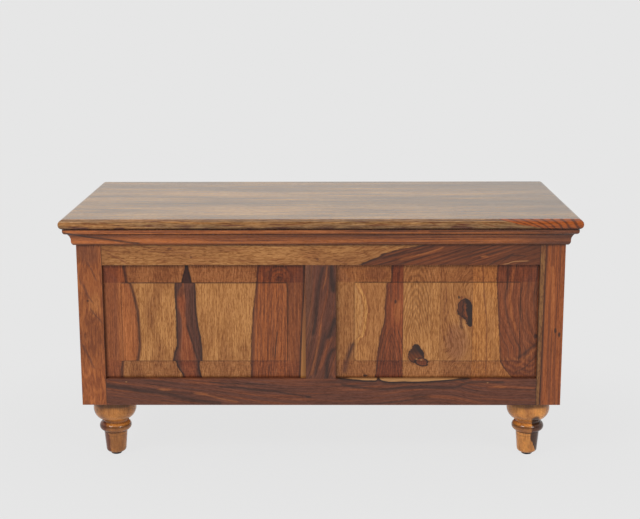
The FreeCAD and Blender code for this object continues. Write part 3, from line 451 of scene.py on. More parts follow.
def upper_knot(wood, across, up):
    """A dead knot cut off by the glue line on its right, with two small horns on top."""
    wobble = (noise(across/5, up/6, 0) - 0.5)*7
    x, z = across + wobble, up + wobble
    kept = fall(across, THIRD_GLUE - 0.4, THIRD_GLUE + 0.2)
    body = largest(oval(x - 257, z - 288, 14, 19), oval(x - 267, z - 276, 9, 21))
    inside = scale(mix(CHESTNUT, CHOCOLATE, wave(x*1.6)), 0.75)
    inside = mix(inside, UMBER, rise(x + (z - 283)*0.15, 257, 260))
    inside = veins(inside, z, x, [
        (UMBER, 2.4, 0.9, (262, 254), (285, 252.5), (303, 254)),
        (RUSSET, 2.6, 0.85, (270, 260.5), (282, 258), (298, 257.5))])
    wood = layers(wood, [
        (CHESTNUT, rise(body, -1, 0.1)*0.4*kept),
        (UMBER, rise(body, -0.05, 0.1)*kept),
        (inside, rise(body, 0.1, 0.28)*kept)])
    wood = veins(wood, z, x, [
        (UMBER, 5.5, 0.75, (251, 252), (262, 250), (280, 249)),
        (CHESTNUT, 2.6, 0.8, (253, 252), (262, 250), (276, 249))])
    return spots(wood, x, z, [
        (UMBER, 245.5, 309, 3, 3.4, 0.85), (CHESTNUT, 250.5, 308.5, 2.6, 3.2, 0.8)])


def lower_knot(wood, across, up):
    """A tear-shaped knot with a black shoulder and an open ring at its foot."""
    wobble = (noise(across/5, up/5, 4) - 0.5)*5
    x, z = across + wobble, up - wobble
    drop = oval(x - 171, z - 201.5, 15, 15.5)
    tear = largest(drop, oval(x - 171, z - 210.5, 8.5, 12.5))
    ring = oval(x - 181 + (z - 189)*0.3, z - 189, 13, 9)
    body = largest(tear, ring)
    inside = scale(mix(RUSSET, CHESTNUT, wave(x*0.9 + z*0.6)), 0.62)
    inside = layers(inside, [
        (UMBER, rise(z, 198, 212)*0.75),
        (UMBER, rise(x*0.8 + z*0.6, 262, 268)*0.95),
        (UMBER, fall(tear, 0.1, 0.35)*0.85)])
    wood = layers(wood, [
        (CHESTNUT, rise(body, -0.8, 0.1)*0.35),
        (inside, rise(tear, -0.05, 0.12)),
        (UMBER, rise(ring, -0.05, 0.15)*0.95)])
    wood = mix(wood, mix(RUSSET, CHESTNUT, wave(x*1.4)), rise(ring, 0.36, 0.6)*0.95)
    return spots(wood, x, z, [
        (SAPWOOD, 171.5, 195, 2.2, 1.8, 0.7), (SAPWOOD, 180, 193.5, 2.2, 1.6, 0.6)])


def dusk_wood(x, z, grain):
    """Dark russet with an orange bow, and a fan of arcs round the lower right corner."""
    bow = x - path(z, [
        (160, 366), (200, 366), (230, 356), (257, 345), (282, 338.8), (307, 336), (332, 338.8), (370, 343)])
    swing = wave((bow + (grain.cloud - 0.5)*20)*0.52 + 1.57)
    ripple = wave((bow + (grain.cloud - 0.5)*30)*1.3)
    wood = mix(scale(CHESTNUT, 0.98), scale(RUSSET, 1.12), swing*0.5 + ripple*0.35)
    streaks = noise(z/120, bow/2.8, 9, 2.5, 0.6)
    wood = layers(wood, [
        (UMBER, fall(streaks, 0.34, 0.48)*0.45),
        (AMBER, line(bow, 4.5)*rise(z, 225, 260)*0.7),
        (UMBER, line(bow + 8.5, 3.5)*0.4),
        (UMBER, line(x - 331, 3)*rise(z, 300, 340)*0.6)])
    fan = x.sheet.node("ShaderNodeVectorMath", {"operation": "LENGTH"}, {
        "Vector": vector(x - 368, (z - 226)*0.9, 0)}, "Value")
    arcs = wave((fan + (grain.cloud - 0.5)*24)*0.75)
    low = fall(z + (x - 357)*0.2, 188, 204)
    wood = mix(wood, mix(CHESTNUT, AMBER, arcs*0.65), low*0.85)
    ragged = z + (grain.fleck - 0.5)*4
    wood = veins(wood, x, ragged, [
        (UMBER, 6, 0.6, (352, 196), (362, 202), (374, 212), (392, 226)),
        (AMBER, 5.5, 0.7, (350, 180), (360, 186), (372, 200), (392, 218)),
        (UMBER, 3, 0.6, (350, 170), (364, 176), (376, 188), (392, 206))])
    return spots(wood, x, z, [(UMBER, 385, 236, 4.5, 5, 0.8)])


def curled_gold(x, z, grain, ragged):
    """The inner stave of the right panel: gold with a pale curl."""
    curl = x - path(z, [
        (160, 60), (225, 64), (240, 75), (260, 78.8), (282, 80.5), (302, 78.8), (318, 72.5), (332, 66),
        (370, 55)])
    wood = mix(GOLD, scale(HONEY, 1.08), rise(curl, -2, 6))
    shown = band(z, 228, 336, 6)
    for place, tone, width, strength in ((0, STRAW, 4.5, 0.95), (7.5, SAPWOOD, 3.2, 0.5),
                                         (-5, RUSSET, 3.2, 0.5), (3.8, RUSSET, 2, 0.4)):
        arc = line(curl + place + (grain.fleck - 0.5)*1.5, width)
        wood = mix(wood, tone, arc*shown*strength)
    wood = spots(wood, x, z, [(scale(GOLD, 1.12), 73, 203, 16, 20, 0.7)])
    wood = mix(scale(HONEY, 1.05), wood, rise(x, 58, 62))
    wood = veins(wood, z, ragged, [
        (CHOCOLATE, 9, 0.8, (168, 42), (190, 46), (205, 51), (224, 57)),
        (UMBER, 4, 0.5, (196, 49), (210, 53), (226, 59))])
    return spots(wood, x, z, [(CHESTNUT, 100, 350, 24, 14, 0.45)])


def red_heart(x, z, grain, ragged):
    """The heart stripe of the right panel: red flames, nested arches below and a pin knot."""
    flames = rise(noise(z/170, ragged/3, 8, 2.5, 0.6), 0.34, 0.64)
    nest = wave(arch(x - 127, 262 - z, 7.4, 10)*0.7 + grain.cloud*6)
    wood = mix(MAROON, SCARLET, flames)
    wood = mix(wood, UMBER, fall(nest, 0, 0.45)*fall(z, 240, 266)*0.5)
    wood = spots(wood, x, z, [(AMBER, 137, 282, 9, 24, 0.6)])
    wood = veins(wood, z, ragged, [
        (UMBER, 2.6, 0.5, (300, 126), (330, 125), (364, 129)),
        (UMBER, 2.2, 0.45, (305, 139), (335, 138), (364, 140))])
    return spots(wood, x, z, [(UMBER, 133, 301, 2.4, 4.5, 0.85)])


def gold_staves(x, z, grain, ragged):
    """The three gold staves of the right panel: arched, smoky with short checks, and bright."""
    arches = wave(arch(x - 169, 332 - z, 9, 30)*1.7 + (grain.cloud - 0.5)*7)
    shown = rise(z, 225, 262)*fall(x, 190, 204)
    first = mix(scale(GOLD, 1.02), scale(HONEY, 0.82), arches*0.85*shown)
    second = mix(scale(HONEY, 1.02), GOLD, rise(grain.cloud, 0.48, 0.68)*0.7)
    second = spots(second, x, z, [(HAZEL, 243, 226, 24, 40, 0.6)])
    second = veins(second, z, ragged, [(CHESTNUT, 1.8, 0.7, *points) for points in (
        [(262, 221), (285, 227)], [(276, 219), (300, 222)], [(238, 235), (262, 228)],
        [(225, 223), (250, 217)], [(300, 224), (330, 222)], [(226, 234), (244, 231)])])
    third = mix(BRIGHT_GOLD, HONEY, rise(grain.cloud, 0.5, 0.7)*0.6)
    return first, second, third


def right_front_panel():
    """Gold with a curl, a red heart stripe, three gold staves with two knots, and dark russet."""
    x, y, z = surface("right front panel")
    in_stave = band(x, SECOND_GLUE, THIRD_GLUE, 0.5)
    about_knot = rise(oval(x - 246, z - 270, 34, 90), -0.2, 0.9)*in_stave
    grain = grain_of(z, x + about_knot*(z - 270)*0.28, y, 2, 9)
    ragged = x + (grain.fleck - 0.5)*3
    heart = ragged - path(z, [
        (160, 97.5), (172, 98.8), (192, 100), (207, 101.3), (220, 103.8), (232, 105.5), (242, 107),
        (252, 109.5), (262, 112.5), (270, 113.5), (295, 114.5), (307, 115.8), (335, 117), (336, 124.5),
        (370, 126)])
    dusk = ragged - path(z, [
        (160, 343), (165, 338), (170, 334.3), (177, 328.8), (185, 324.3), (192, 321.6), (215, 320),
        (245, 318.3), (275, 315.8), (305, 313.8), (335, 312), (370, 313)])
    staves = (curled_gold(x, z, grain, ragged), *gold_staves(x, z, grain, ragged))
    gold, first, second, third = (show_grain(stave, grain) for stave in staves)
    red = show_grain(red_heart(x, z, grain, ragged), grain, 0.28, 1.4)
    dusky = show_grain(dusk_wood(x, z, grain), grain, 0.28, 1.4)
    wood = zones(gold, [
        (heart, red, 0.8, (3.2, 1.4, 0.6)),
        (x - FIRST_GLUE, first, 0.4, NO_LINE),
        (x - SECOND_GLUE, second, 0.4, NO_LINE),
        (x - THIRD_GLUE, third, 0.4, NO_LINE),
        (dusk, dusky, 0.8, (2.6, 1.2, 0.5))])
    for place, strength in ((FIRST_GLUE, 0.4), (SECOND_GLUE, 0.45), (THIRD_GLUE, 0.4)):
        wood = mix(wood, CHOCOLATE, line(x - place, 1)*strength)
    wood = veins(wood, z, ragged, [
        (CHESTNUT, 2.4, 0.7, (162, 297), (230, 296.3), (257, 296), (295, 292.5), (332, 288.8), (366, 287))])
    wood = upper_knot(wood, x, z)
    wood = lower_knot(wood, x, z)
    # A pale line on the field's left edge: painted highlight on the bevel
    wood = veins(wood, z, x, [(SAPWOOD, 1.2, 0.6, (196, 61.8), (333, 61.8))])
    wood = spots(wood, x, z, [(UMBER, 80, 162.5, 5, 2.5, 0.9)])
    return lacquer(panel_edges(wood, x, z, RIGHT_FIELD, (0.94, 0.81, 0.82)), grain)


def joints_and_cornice_shadow(wood, x, z):
    """Dark lines where rails meet posts, and painted shadow under the cornice."""
    joint = line(abs(x) - JOINT, 1.7)*0.6
    # Painted shadow of the cornice over the top few millimetres
    shadow = rise(z, CORNICE_FOOT - 4, CORNICE_FOOT)*0.55
    return mix(wood, UMBER, largest(joint, shadow))


def dark_rail_end(x, z, slant, ragged):
    """The right end of the top rail: streaked dark russet."""
    streaks = noise(x/110, slant/3.6, 0, 2)
    wood = mix(scale(CHESTNUT, 0.66), RUSSET, rise(streaks, 0.44, 0.7)*0.7)
    wood = mix(wood, UMBER, fall(streaks, 0.3, 0.46)*0.6)
    wood = mix(wood, scale(CHESTNUT, 0.7), rise(x, 290, 370)*0.5)
    wood = veins(wood, x, ragged, [
        (AMBER, 3.2, 0.7, (140, 377.5), (170, 385), (187, 389), (205, 395), (217, 400)),
        (UMBER, 2.6, 0.6, (110, 380), (140, 388), (170, 394), (200, 402)),
        (UMBER, 2.6, 0.7, (296, 368), (318, 378), (340, 388)),
        (UMBER, 2, 0.6, (318, 372), (330, 381), (342, 385), (362, 384))])
    return spots(wood, x, z, [(AMBER, 289, 383, 8, 2.6, 0.6)])


def honey_rail_end(x, z, grain, ragged):
    """The left end of the top rail: honey with russet blots, short checks and specks."""
    blots = noise(x/60, (z + x*0.1)/7, 0, 3, 0.6)
    wood = mix(scale(HONEY, 0.92), scale(GOLD, 0.92), rise(grain.cloud, 0.4, 0.62)*0.9)
    wood = mix(wood, RUSSET, rise(blots, 0.54, 0.74)*0.45)
    wood = veins(wood, x, ragged, [
        (GOLD, 6, 0.6, (-130, 386), (-80, 384), (-25, 380)),
        (CHESTNUT, 2.4, 0.75, (-378, 390), (-360, 381), (-343, 371.5))])
    wood = veins(wood, x, ragged, [(CHESTNUT, 1.9, 0.65, *points) for points in (
        [(-312, 399), (-290, 399.5), (-266, 397)], [(-306, 393), (-284, 391.5), (-258, 390)],
        [(-296, 396), (-276, 394.5)], [(-258, 390.5), (-228, 389.5)], [(-385, 396), (-355, 392)],
        [(3, 369), (8, 374), (12, 379)], [(24, 378), (34, 375), (46, 371)])])
    return spots(wood, x, z, [
        (CHOCOLATE, -266, 397.5, 5, 2.4, 0.7), (CHOCOLATE, -229, 382, 2.2, 2.4, 0.7),
        (CHOCOLATE, -5.5, 378, 3.2, 2.4, 0.7)])


def top_rail():
    """Honey on the left and dark russet beyond a slanting edge on the right, with a pale check."""
    x, y, z = surface("front top rail")
    slant = z - (x - 70)*0.3*rise(x, -60, 110)
    grain = grain_of(x, slant, y, 3, 9)
    ragged = z + (grain.fleck - 0.5)*3
    edge = x + (grain.fleck - 0.5)*8 - path(z, [
        (366, 62), (370.2, 71.5), (375.2, 82.5), (380.2, 95.5), (384.2, 103.5), (388.2, 108.5),
        (390.2, 118.5), (393.8, 130.5), (397.6, 147.5), (402, 170), (440, 330)])
    honey = show_grain(scale(honey_rail_end(x, z, grain, ragged), 0.95), grain, 0.42, 1.2)
    red = show_grain(dark_rail_end(x, z, slant, ragged), grain, 0.18, 1)
    wood = zones(honey, [(edge, red, 1.5, (7, 4, 0.8))])
    wood = joints_and_cornice_shadow(wood, x, z)
    wood = veins(wood, x, z, [
        (SAPWOOD, 1.3, 0.85, (323, 369), (331, 370.5), (337, 373), (344, 374.2), (366, 375))])
    return lacquer(wood, grain)


def sapwood_sliver(wood, x, z, grain):
    """A sliver of sapwood along the top edge of the bottom rail, with a dark line under it and painted shadow
    along its top.
    """
    sap = z + (grain.fleck - 0.5) - path(x, [
        (30, 161), (38, 159.6), (52, 158.3), (68, 157), (86, 155.6), (96, 155.6), (101, 158),
        (103.5, 159.4), (106, 158.4), (110, 155.8), (120, 153.8), (132, 153.1), (150, 153.8), (170, 153.2),
        (186, 153.6), (203, 154.9), (227, 156.8), (247, 158.7), (262, 159.9), (275, 162)])
    inside = band(x, 36, 266, 3)
    beside = line(sap + 1.5, 2.6)*0.95 + line(sap + 4, 5)*0.3
    wood = mix(wood, UMBER, beside*band(x, 30, 270, 6))
    # The sapwood darkens towards its top: painted shadow of the frame edge above it
    pale = scale(SAPWOOD, 1.02 - rise(z, 157, 160)*0.35 + (grain.fibre - 0.5)*0.9)
    return mix(wood, pale, rise(sap, -0.5, 0.5)*inside*0.95)


def bottom_rail():
    """Chocolate with long drifting veins and embers, and a sliver of sapwood along the top edge."""
    x, y, z = surface("front bottom rail")
    drift = z + path(x, [(-440, -40), (-200, -8), (0, 10), (110, 6), (200, -2), (300, 12), (440, 14)])
    grain = grain_of(x, drift, y, 4, 6)
    ragged = z + (grain.fibre - 0.5)*4
    streaks = noise(x/170, drift/5, 3, 3, 0.6)
    wood = mix(scale(CHOCOLATE, 1.08), RUSSET, rise(streaks, 0.46, 0.72)*0.75)
    wood = mix(wood, UMBER, fall(streaks, 0.28, 0.46)*0.62)
    wood = veins(wood, x, ragged, [
        (UMBER, 9, 0.7,
            (-390, 147), (-362, 142.5), (-346, 141), (-334, 137), (-302, 134.5), (-272, 128.5),
            (-252, 123.5), (-222, 117), (-180, 111)),
        (UMBER, 2.8, 0.7,
            (-184, 143.5), (-147, 141.5), (-127, 138.5), (-87, 135.3), (-51, 129), (-17, 124)),
        (UMBER, 4.4, 0.7,
            (36, 148.5), (68, 142.5), (112, 139.5), (147, 142), (185, 142.5), (227, 141.5), (259, 149.5),
            (287, 153), (330, 152)),
        (UMBER, 2.2, 0.7, (-200, 152), (-150, 149), (-100, 148)),
        (AMBER, 3, 0.5, (-215, 130), (-190, 123.5), (-150, 115)),
        (RUSSET, 4, 0.7, (300, 142), (330, 143), (386, 141))])
    for place, level in ((-282, 138), (-217, 130.3), (322, 143.4)):
        wood = spots(wood, x, z + (x - place)*0.06, [(AMBER, place, level, 15, 3, 0.5)])
    wood = spots(wood, x, z, [
        (UMBER, 178, 125, 22, 5, 0.5), (UMBER, -23, 124.5, 6, 2.4, 0.6)])
    wood = show_grain(wood, grain, 0.22, 1.1)
    wood = spots(wood, x, z, [
        (SAPWOOD, -351, 152.6, 2.2, 1.2, 0.6), (SAPWOOD, 300, 151, 2.2, 1.2, 0.6)])
    wood = joints_and_cornice_shadow(wood, x, z)
    return lacquer(sapwood_sliver(wood, x, z, grain), grain)


def left_post():
    """Mottled russet with a pale patch, smoke above it and a dark slanting vein."""
    x, y, z = surface("front left post")
    grain = grain_of(z, x, y, 5, 26)
    ragged = x + (grain.fleck - 0.5)*5
    swirl = noise(z/34, grain.side/7, y/9, 3, 0.6, 1.2)
    wood = mix(scale(RUSSET, 0.8), AMBER, rise(swirl, 0.36, 0.66)*0.95)
    wood = spots(wood, x, z, [
        (CHOCOLATE, -411, 392, 24, 26, 0.5), (AMBER, -408, 335, 15, 30, 0.65)])
    patch = oval(x + 403, z - 296, 12, 26) + (swirl - 0.5)*3
    wood = mix(wood, APRICOT, rise(patch, 0, 0.9)*0.8)
    wood = veins(wood, z, ragged, [(CHOCOLATE, width, 0.75, *points) for width, *points in (
        (2, (332, -426), (340, -427), (350, -428)),
        (3.4, (299, -405.5), (305, -409.7), (322, -418), (334, -421)),
        (3.2, (262, -391), (268, -394), (277, -402.7), (288, -409.7)),
        (1.6, (232, -422), (244, -422)),
        (4, (178, -408), (200, -417), (223, -428)),
        (2.4, (340, -398), (356, -404), (372, -412)))])
    wood = spots(wood, x, z, [(UMBER, -414.5, 303, 3, 2, 0.7)])
    wood = scale(wood, 1.28 - rise(z, 150, 230)*0.32 + rise(z, 270, 350)*0.08)
    wood = show_grain(wood, grain, 0.15, 0.75)
    return lacquer(joints_and_cornice_shadow(wood, x, z), grain)


def right_post():
    """Russet with upright streaks and two pin knots, and sapwood behind a dark line along the inner edge."""
    x, y, z = surface("front right post")
    grain = grain_of(z, x, y, 6, 4)
    ragged = x + (grain.fleck - 0.5)*2
    streaks = noise(z/220, grain.side/2.6, y/2.6, 2)
    wood = mix(CHESTNUT, ORANGE, rise(streaks, 0.36, 0.62)*0.8)
    wood = veins(wood, z, ragged, [
        (scale(AMBER, 1.2), 5, 0.75, (250, 413.5), (290, 412.5), (330, 411), (364, 410))])
    wood = scale(wood, 1.18 - rise(z, 150, 230)*0.18)
    wood = spots(wood, x, z, [
        (UMBER, 418.3, 248, 2.6, 5.5, 0.85), (UMBER, 425.3, 240.5, 2.6, 5.5, 0.85)])
    edge = path(z, [(108, 392.2), (150, 392.8), (200, 393.5), (240, 394), (300, 394.8), (400, 395.8),
                    (440, 396)]) - ragged
    on_front = fall(y, -193, -188)
    wood = mix(wood, UMBER, line(edge + 1.8, 3.6)*0.85*on_front)
    sapwood = mix(scale(GOLD, 0.56), CHESTNUT, rise(z, 375, 400)*0.6)
    sapwood = mix(sapwood, CHOCOLATE, rise(grain.fleck, 0.46, 0.6)*0.5)
    wood = mix(wood, sapwood, rise(edge, -0.6, 0.6)*on_front)
    wood = joints_and_cornice_shadow(wood, x, z)
    return lacquer(show_grain(wood, grain, 0.2, 0.9), grain)


def front_muntin():
    """Chocolate with slanting red streaks that fan out upwards."""
    x, y, z = surface("front muntin")
    lean = x - path(z, [(150, -24), (172, -17.5), (210, -7.5), (247, 0), (290, 7), (340, 12), (375, 15)])
    grain = grain_of(z, lean, y, 7, 4)
    streaks = noise(z/160, lean/4.2, 1, 3, 0.6)
    ragged = x + (grain.fibre - 0.5)*5
    wood = mix(CHOCOLATE, RUSSET, rise(streaks, 0.46, 0.74)*0.6)
    wood = mix(wood, UMBER, fall(streaks, 0.28, 0.5)*0.45)
    wood = mix(wood, DRIFTWOOD, fall(ragged, -20, -10)*rise(z, 200, 260)*0.35)
    wood = veins(wood, z, ragged, [
        (UMBER, 6, 0.75, (240, -14), (264, -10), (289, -8), (320, -5), (366, 5)),
        (UMBER, 11, 0.9, (318, 23), (345, 20), (368, 19)),
        (UMBER, 9, 0.9, (232, 12), (245, 17), (258, 21), (272, 27)),
        (UMBER, 6.5, 0.85, (158, 11), (180, 11), (200, 15), (216, 24)),
        (UMBER, 4, 0.6, (165, -10), (190, -6), (215, 2), (245, 8)),
        (AMBER, 2.4, 0.5, (322, 4), (328, 5), (337, 8), (366, 12)),
        (AMBER, 4, 0.5, (165, -18), (171, -16), (206, -8), (240, -2), (262, 1)),
        (RUSSET, 2.6, 0.5, (240, -2), (277, 3), (306, 9), (325, 13)),
        (RUSSET, 5, 0.5, (176, -2), (182, 0), (198, 5), (217, 12), (236, 21)),
        (RUSSET, 4, 0.5, (160, 25), (172, 22), (186, 24))])
    return lacquer(show_grain(wood, grain, 0.24, 1), grain)


def plain_board(name, axes, seed, tones=(CHOCOLATE, RUSSET, AMBER, HONEY), spread=26, gloss=0.3):
    """A lacquered board whose colour drifts between dark and pale tones along its growth lines."""
    along, across, depth = surface(name, axes)
    grain = grain_of(along, across, depth, seed, 16)
    drift = noise(along/420 + seed, grain.side/spread, depth/spread + seed, 2, 0.5, 0.3)
    wood = tones[0]
    for index, tone in enumerate(tones[1:]):
        start = 0.36 + 0.28*index/len(tones)
        wood = mix(wood, tone, rise(drift, start, start + 0.09))
    wood = mix(wood, UMBER, line(drift - 0.4, 0.012)*0.6)
    return lacquer(show_grain(wood, grain, 0.3, 1), grain, gloss)


def raw_board(name, axes, seed):
    """Waxed inside wood, duller than the lacquer outside."""
    return plain_board(name, axes, seed, (RUSSET, HONEY, HONEY, GOLD), 34, 0.52)


def side_panel(side, seed, staves):
    """A raised side panel of upright staves: where each starts from front to back, and its tone."""
    x, y, z = surface(f"{side} panel")
    grain = grain_of(z, y, x, seed, 10)
    wander = (noise(z/130 + seed, y/60, 0, 1) - 0.5)*34 + (grain.fleck - 0.5)*3
    wood = mix(HONEY, GOLD, rise(grain.cloud, 0.38, 0.6))
    for start, tone in staves:
        streaked = mix(tone, CHOCOLATE, rise(grain.fibre, 0.52, 0.66)*0.4)
        wood = zones(wood, [(y + wander - start, streaked, 0.8, (3.4, 1.2, 0.75))])
    wood = show_grain(wood, grain)
    return lacquer(panel_edges(wood, y, z, SIDE_FIELD), grain)


def front_cornice_marks(wood, x, ragged):
    """What the front cornice shows: paler on the left, dark on the right, and three veins."""
    wood = scale(wood, 1.18 - rise(x, -430, 50)*0.32)
    wood = mix(wood, CHOCOLATE, rise(x, 300, 430)*0.75)
    return veins(wood, x, ragged, [
        (UMBER, 3.2, 0.85,
            (-456, 431.5), (-429, 425), (-405, 420), (-381, 417), (-361, 414), (-341, 411), (-318, 408.5)),
        (UMBER, 2.6, 0.6, (190, 431), (260, 432), (330, 433), (400, 431)),
        (UMBER, 2, 0.4, (60, 432), (110, 433), (170, 432))])


def cornice(name, axes, seed):
    """Russet moulding with long streaks, and painted light and shade along its profile: a highlight on the
    hollow and the top, shade above the hollow, in the quirk, under the lid and on the foot.
    """
    along, z, depth = surface(name, axes)
    grain = grain_of(along, z, depth, seed, 4)
    ragged = z + (grain.fibre - 0.5)*2
    streaks = noise(along/220 + seed, z/2.2, depth/5, 3, 0.6)
    wood = mix(RUSSET, scale(AMBER, 1.15), rise(streaks, 0.34, 0.6)*0.85)
    # Painted highlight as an orange band on the hollow and a paler top; dark streaks; painted shade as a
    # chestnut band above the hollow
    wood = layers(wood, [
        (scale(AMBER, 1.25), line(ragged - CORNICE_HOLLOW, 3.8)*0.6),
        (scale(AMBER, 1.2), band(ragged, 427.5, 433, 1)*0.35),
        (CHOCOLATE, fall(streaks, 0.36, 0.48)*0.85),
        (CHESTNUT, line(ragged - CORNICE_STEP, 4)*0.52)])
    if name == "front cornice":
        wood = front_cornice_marks(wood, along, ragged)
    wood = show_grain(wood, grain, 0.2, 0.9)
    # Painted shade in the quirk, in the gap under the lid and on the foot
    wood = layers(wood, [
        (UMBER, line(z - CORNICE_QUIRK, 2.4)*0.95),
        (UMBER, line(z - CORNICE_TOP, 2.2)*0.7),
        (UMBER, fall(z, CORNICE_FOOT, CORNICE_FOOT + 4)*0.6)])
    return lacquer(wood, grain, 0.26)


def lid_front_edge(x, y, z, grain):
    """The front stave of the lid: olive gold with dark dashes, and a striped russet right end."""
    drift = noise(x/170, grain.side/7, 0, 2)
    golden = rise(drift, 0.44, 0.62)*(0.75 - rise(x, -300, -100)*0.45)
    gold = scale(mix(OLIVE, GOLD, golden), 1 - rise(x, -330, -150)*0.14)
    dashes = noise(x/45, grain.side/2, 7, 2, 0.6)
    gold = mix(gold, CHOCOLATE, rise(dashes, 0.52, 0.64)*0.95)
    gold = mix(gold, SAPWOOD, fall(dashes, 0.36, 0.48)*0.6)
    gold = veins(gold, x, z + (grain.fleck - 0.5)*2, [(CHESTNUT, width, 0.7, *points) for width, *points in (
        (2.2, (-413, 447), (-400, 446.5), (-389, 446)), (1.8, (-384, 449), (-370, 447)),
        (1.6, (190, 449), (207, 442)), (1.6, (235, 448), (250, 443.5)), (1.8, (281, 448), (305, 441)),
        (1.6, (-60, 446), (-30, 445)), (1.6, (84, 444), (120, 445)))])
    gold = spots(gold, x, z, [(CHOCOLATE, -238, 443, 24, 3, 0.5)])
    turn = x + (grain.fleck - 0.5)*6 - path(z, [
        (434, 392), (438, 384), (444, 352), (449, 328), (453, 311), (455, 308)])
    sweep = x + (z - 446)*path(x, [(300, 4.5), (360, 2.6), (410, 1.2), (460, 0.5)])
    stripes = wave((sweep + (grain.cloud - 0.5)*20)*0.42)
    russet = mix(scale(CHESTNUT, 0.8), FLAME, rise(stripes, 0, 0.5))
    return mix(gold, russet, rise(turn, -3, 3)*fall(y, -219, -212))


def lid_board():
    """Glued lengthwise staves, glossy on top; painted shade darkens the edge underneath, a painted dark
    reflection runs along the front arris, and the underside is golden.
    """
    x, y, z = surface("lid board")
    grain = grain_of(x, y + z, z, 11, 6)
    wood = lid_front_edge(x, y, z, grain)
    streaks = noise(x/200, grain.side/4.4, 2, 3, 0.65)
    broad = noise(x/300, y/40, 4, 2)
    for start, level in ((-214, 1), (-172, 1.15), (-118, 0.95), (-62, 0.8), (-20, 1), (38, 1.15),
                         (92, 0.95), (140, 0.8), (186, 1)):
        stave = mix(scale(LID_DARK, level), scale(LID_PALE, level),
                    rise(streaks + (broad - 0.5)*0.7, 0.32, 0.68))
        wood = mix(wood, stave, rise(y - start, -EDGE, EDGE))
    wood = show_grain(wood, grain, 0.3, 1.2)
    wood = scale(wood, 1 - rise(x, 0, 420)*rise(y, -222, -212)*0.22)
    rim = largest(rise(abs(x), 441, 449), fall(y, -217, -208))
    under = fall(z, LID_UNDER + 0.1, LID_UNDER + 0.4)
    # Painted shade under the lid's edge, where it overhangs the cornice
    shade = fall(z, LID_UNDER + 1.1, LID_UNDER + 4.6)*(1 - under)*rim
    wood = mix(wood, UMBER, shade*0.7)
    wood = mix(wood, mix(RUSSET, GOLD, rise(streaks, 0.36, 0.62)), under*0.85)
    # A thin painted dark reflection along the front arris
    wood = mix(wood, UMBER, line(z - LID_ARRIS, 1.6)*fall(y, -222, -219)*0.35)
    on_top = rise(z, LID_TOP - 0.6, LID_TOP - 0.1)
    relief = (streaks + broad*0.5)*on_top - grain.pores*0.08
    return finish(wood, 0.2 + (streaks - 0.5)*0.2, relief, 0.16, sheen=0.33)


def turned_foot(corner, seed, middle_x, middle_y):
    """Gold turned wood with a dark streak of heartwood down one side, painted shade in its grooves and a
    painted shadow under the carcass.
    """
    x, y, z = surface(f"{corner.replace('_', ' ')} foot")
    x, y = x - middle_x, y - middle_y
    grain = grain_of(z, x, y, seed, 12)
    bright = corner != "front_left"
    if bright:
        wood = mix(scale(HONEY, 1.5), FOOT_PALE, rise(grain.cloud, 0.36, 0.58))
        past = x - path(z, [
            (0, 16), (12, 12.8), (24, 7.8), (38, 2.8), (48, 3.7), (57, 4.5), (64, 5), (70, 7), (75, 30),
            (120, 60)])
        tone = FOOT_DARK
    else:
        wood = mix(scale(HONEY, 1.15), FOOT_GOLD, rise(grain.cloud, 0.34, 0.56))
        past = path(z, [(0, -8), (38, -8.5), (46, -14), (60, -13), (70, -24), (120, -50)]) - x
        tone = CHESTNUT
    ragged = (grain.fleck - 0.5)*4
    swirl = noise((z + x*0.6)/9, (x - z*0.4)/24, y/20 + seed, 2.5, 0.6, 0.8)
    wood = scale(wood, 0.62 + swirl*0.76)
    wood = mix(wood, tone, rise(past + ragged, -1, 1)*0.95)
    if bright:
        wood = spots(wood, x, z + ragged, [(tone, 10, 75, 9, 9, 0.95)])
    wood = show_grain(wood, grain, 0.13, 0.6, pores=0.1)
    # A darker, redder band over the bead, partly its own colour and partly painted shade; then painted shade
    # lines in the grooves
    wood = mix(wood, CHESTNUT, band(z, 47, 60, 2)*0.42)
    for level, width, strength in FOOT_SHADE_LINES:
        wood = mix(wood, UMBER, line(z - level, width)*strength)
    # Painted shadow of the carcass over the top of the bowl
    return lacquer(mix(wood, UMBER, rise(z, 95, 101)*0.6), grain, 0.14)


def metal(name, colour, shade, roughness):
    """Rolled metal with faint brushing and spots of tarnish."""
    x, y, z = surface(name)
    brushing = noise(x/14, y/0.7, z/0.7, 2)
    tarnish = noise(x/7, y/7, z/7, 3, 0.65)
    dull = rise(tarnish, 0.48, 0.7)
    tint = mix(colour, shade, dull*0.65)
    rough = roughness + dull*0.18 + (brushing - 0.5)*0.16
    return finish(tint, rough, brushing, 0.004, metallic=1)


def glide_plastic():
    """Hard black plastic with scuffs."""
    x, y, z = surface("black glide")
    scuff = noise(x/2, y/2, z/0.8, 3)
    colour = mix(PLASTIC, SCUFFED, rise(scuff, 0.5, 0.75))
    return finish(colour, 0.38 + scuff*0.2, scuff, 0.05, sheen=0.12)


def dress(name, material):
    """Give a node its material."""
    for slot in nodes[name].material_slots:
        slot.material = material


def soften(name, width):
    """Ease a node's sharp arrises by a width in millimetres."""
    node = nodes[name]
    weld = node.modifiers.new("weld", "WELD")
    weld.merge_threshold = 0.00001
    bevel = node.modifiers.new("arris", "BEVEL")
    bevel.width = width/MILLIMETRES
    bevel.segments = 2
    bevel.limit_method = "ANGLE"
    bevel.angle_limit = math.radians(35)
    normals = node.modifiers.new("normals", "WEIGHTED_NORMAL")
    normals.keep_sharp = False


# Which way a board runs: along, across and through it
UPRIGHT_FRONT, LEVEL_FRONT, LEVEL_SIDE = "zxy", "xzy", "yzx"
FLAT_LONG, FLAT_DEEP = "xyz", "yxz"

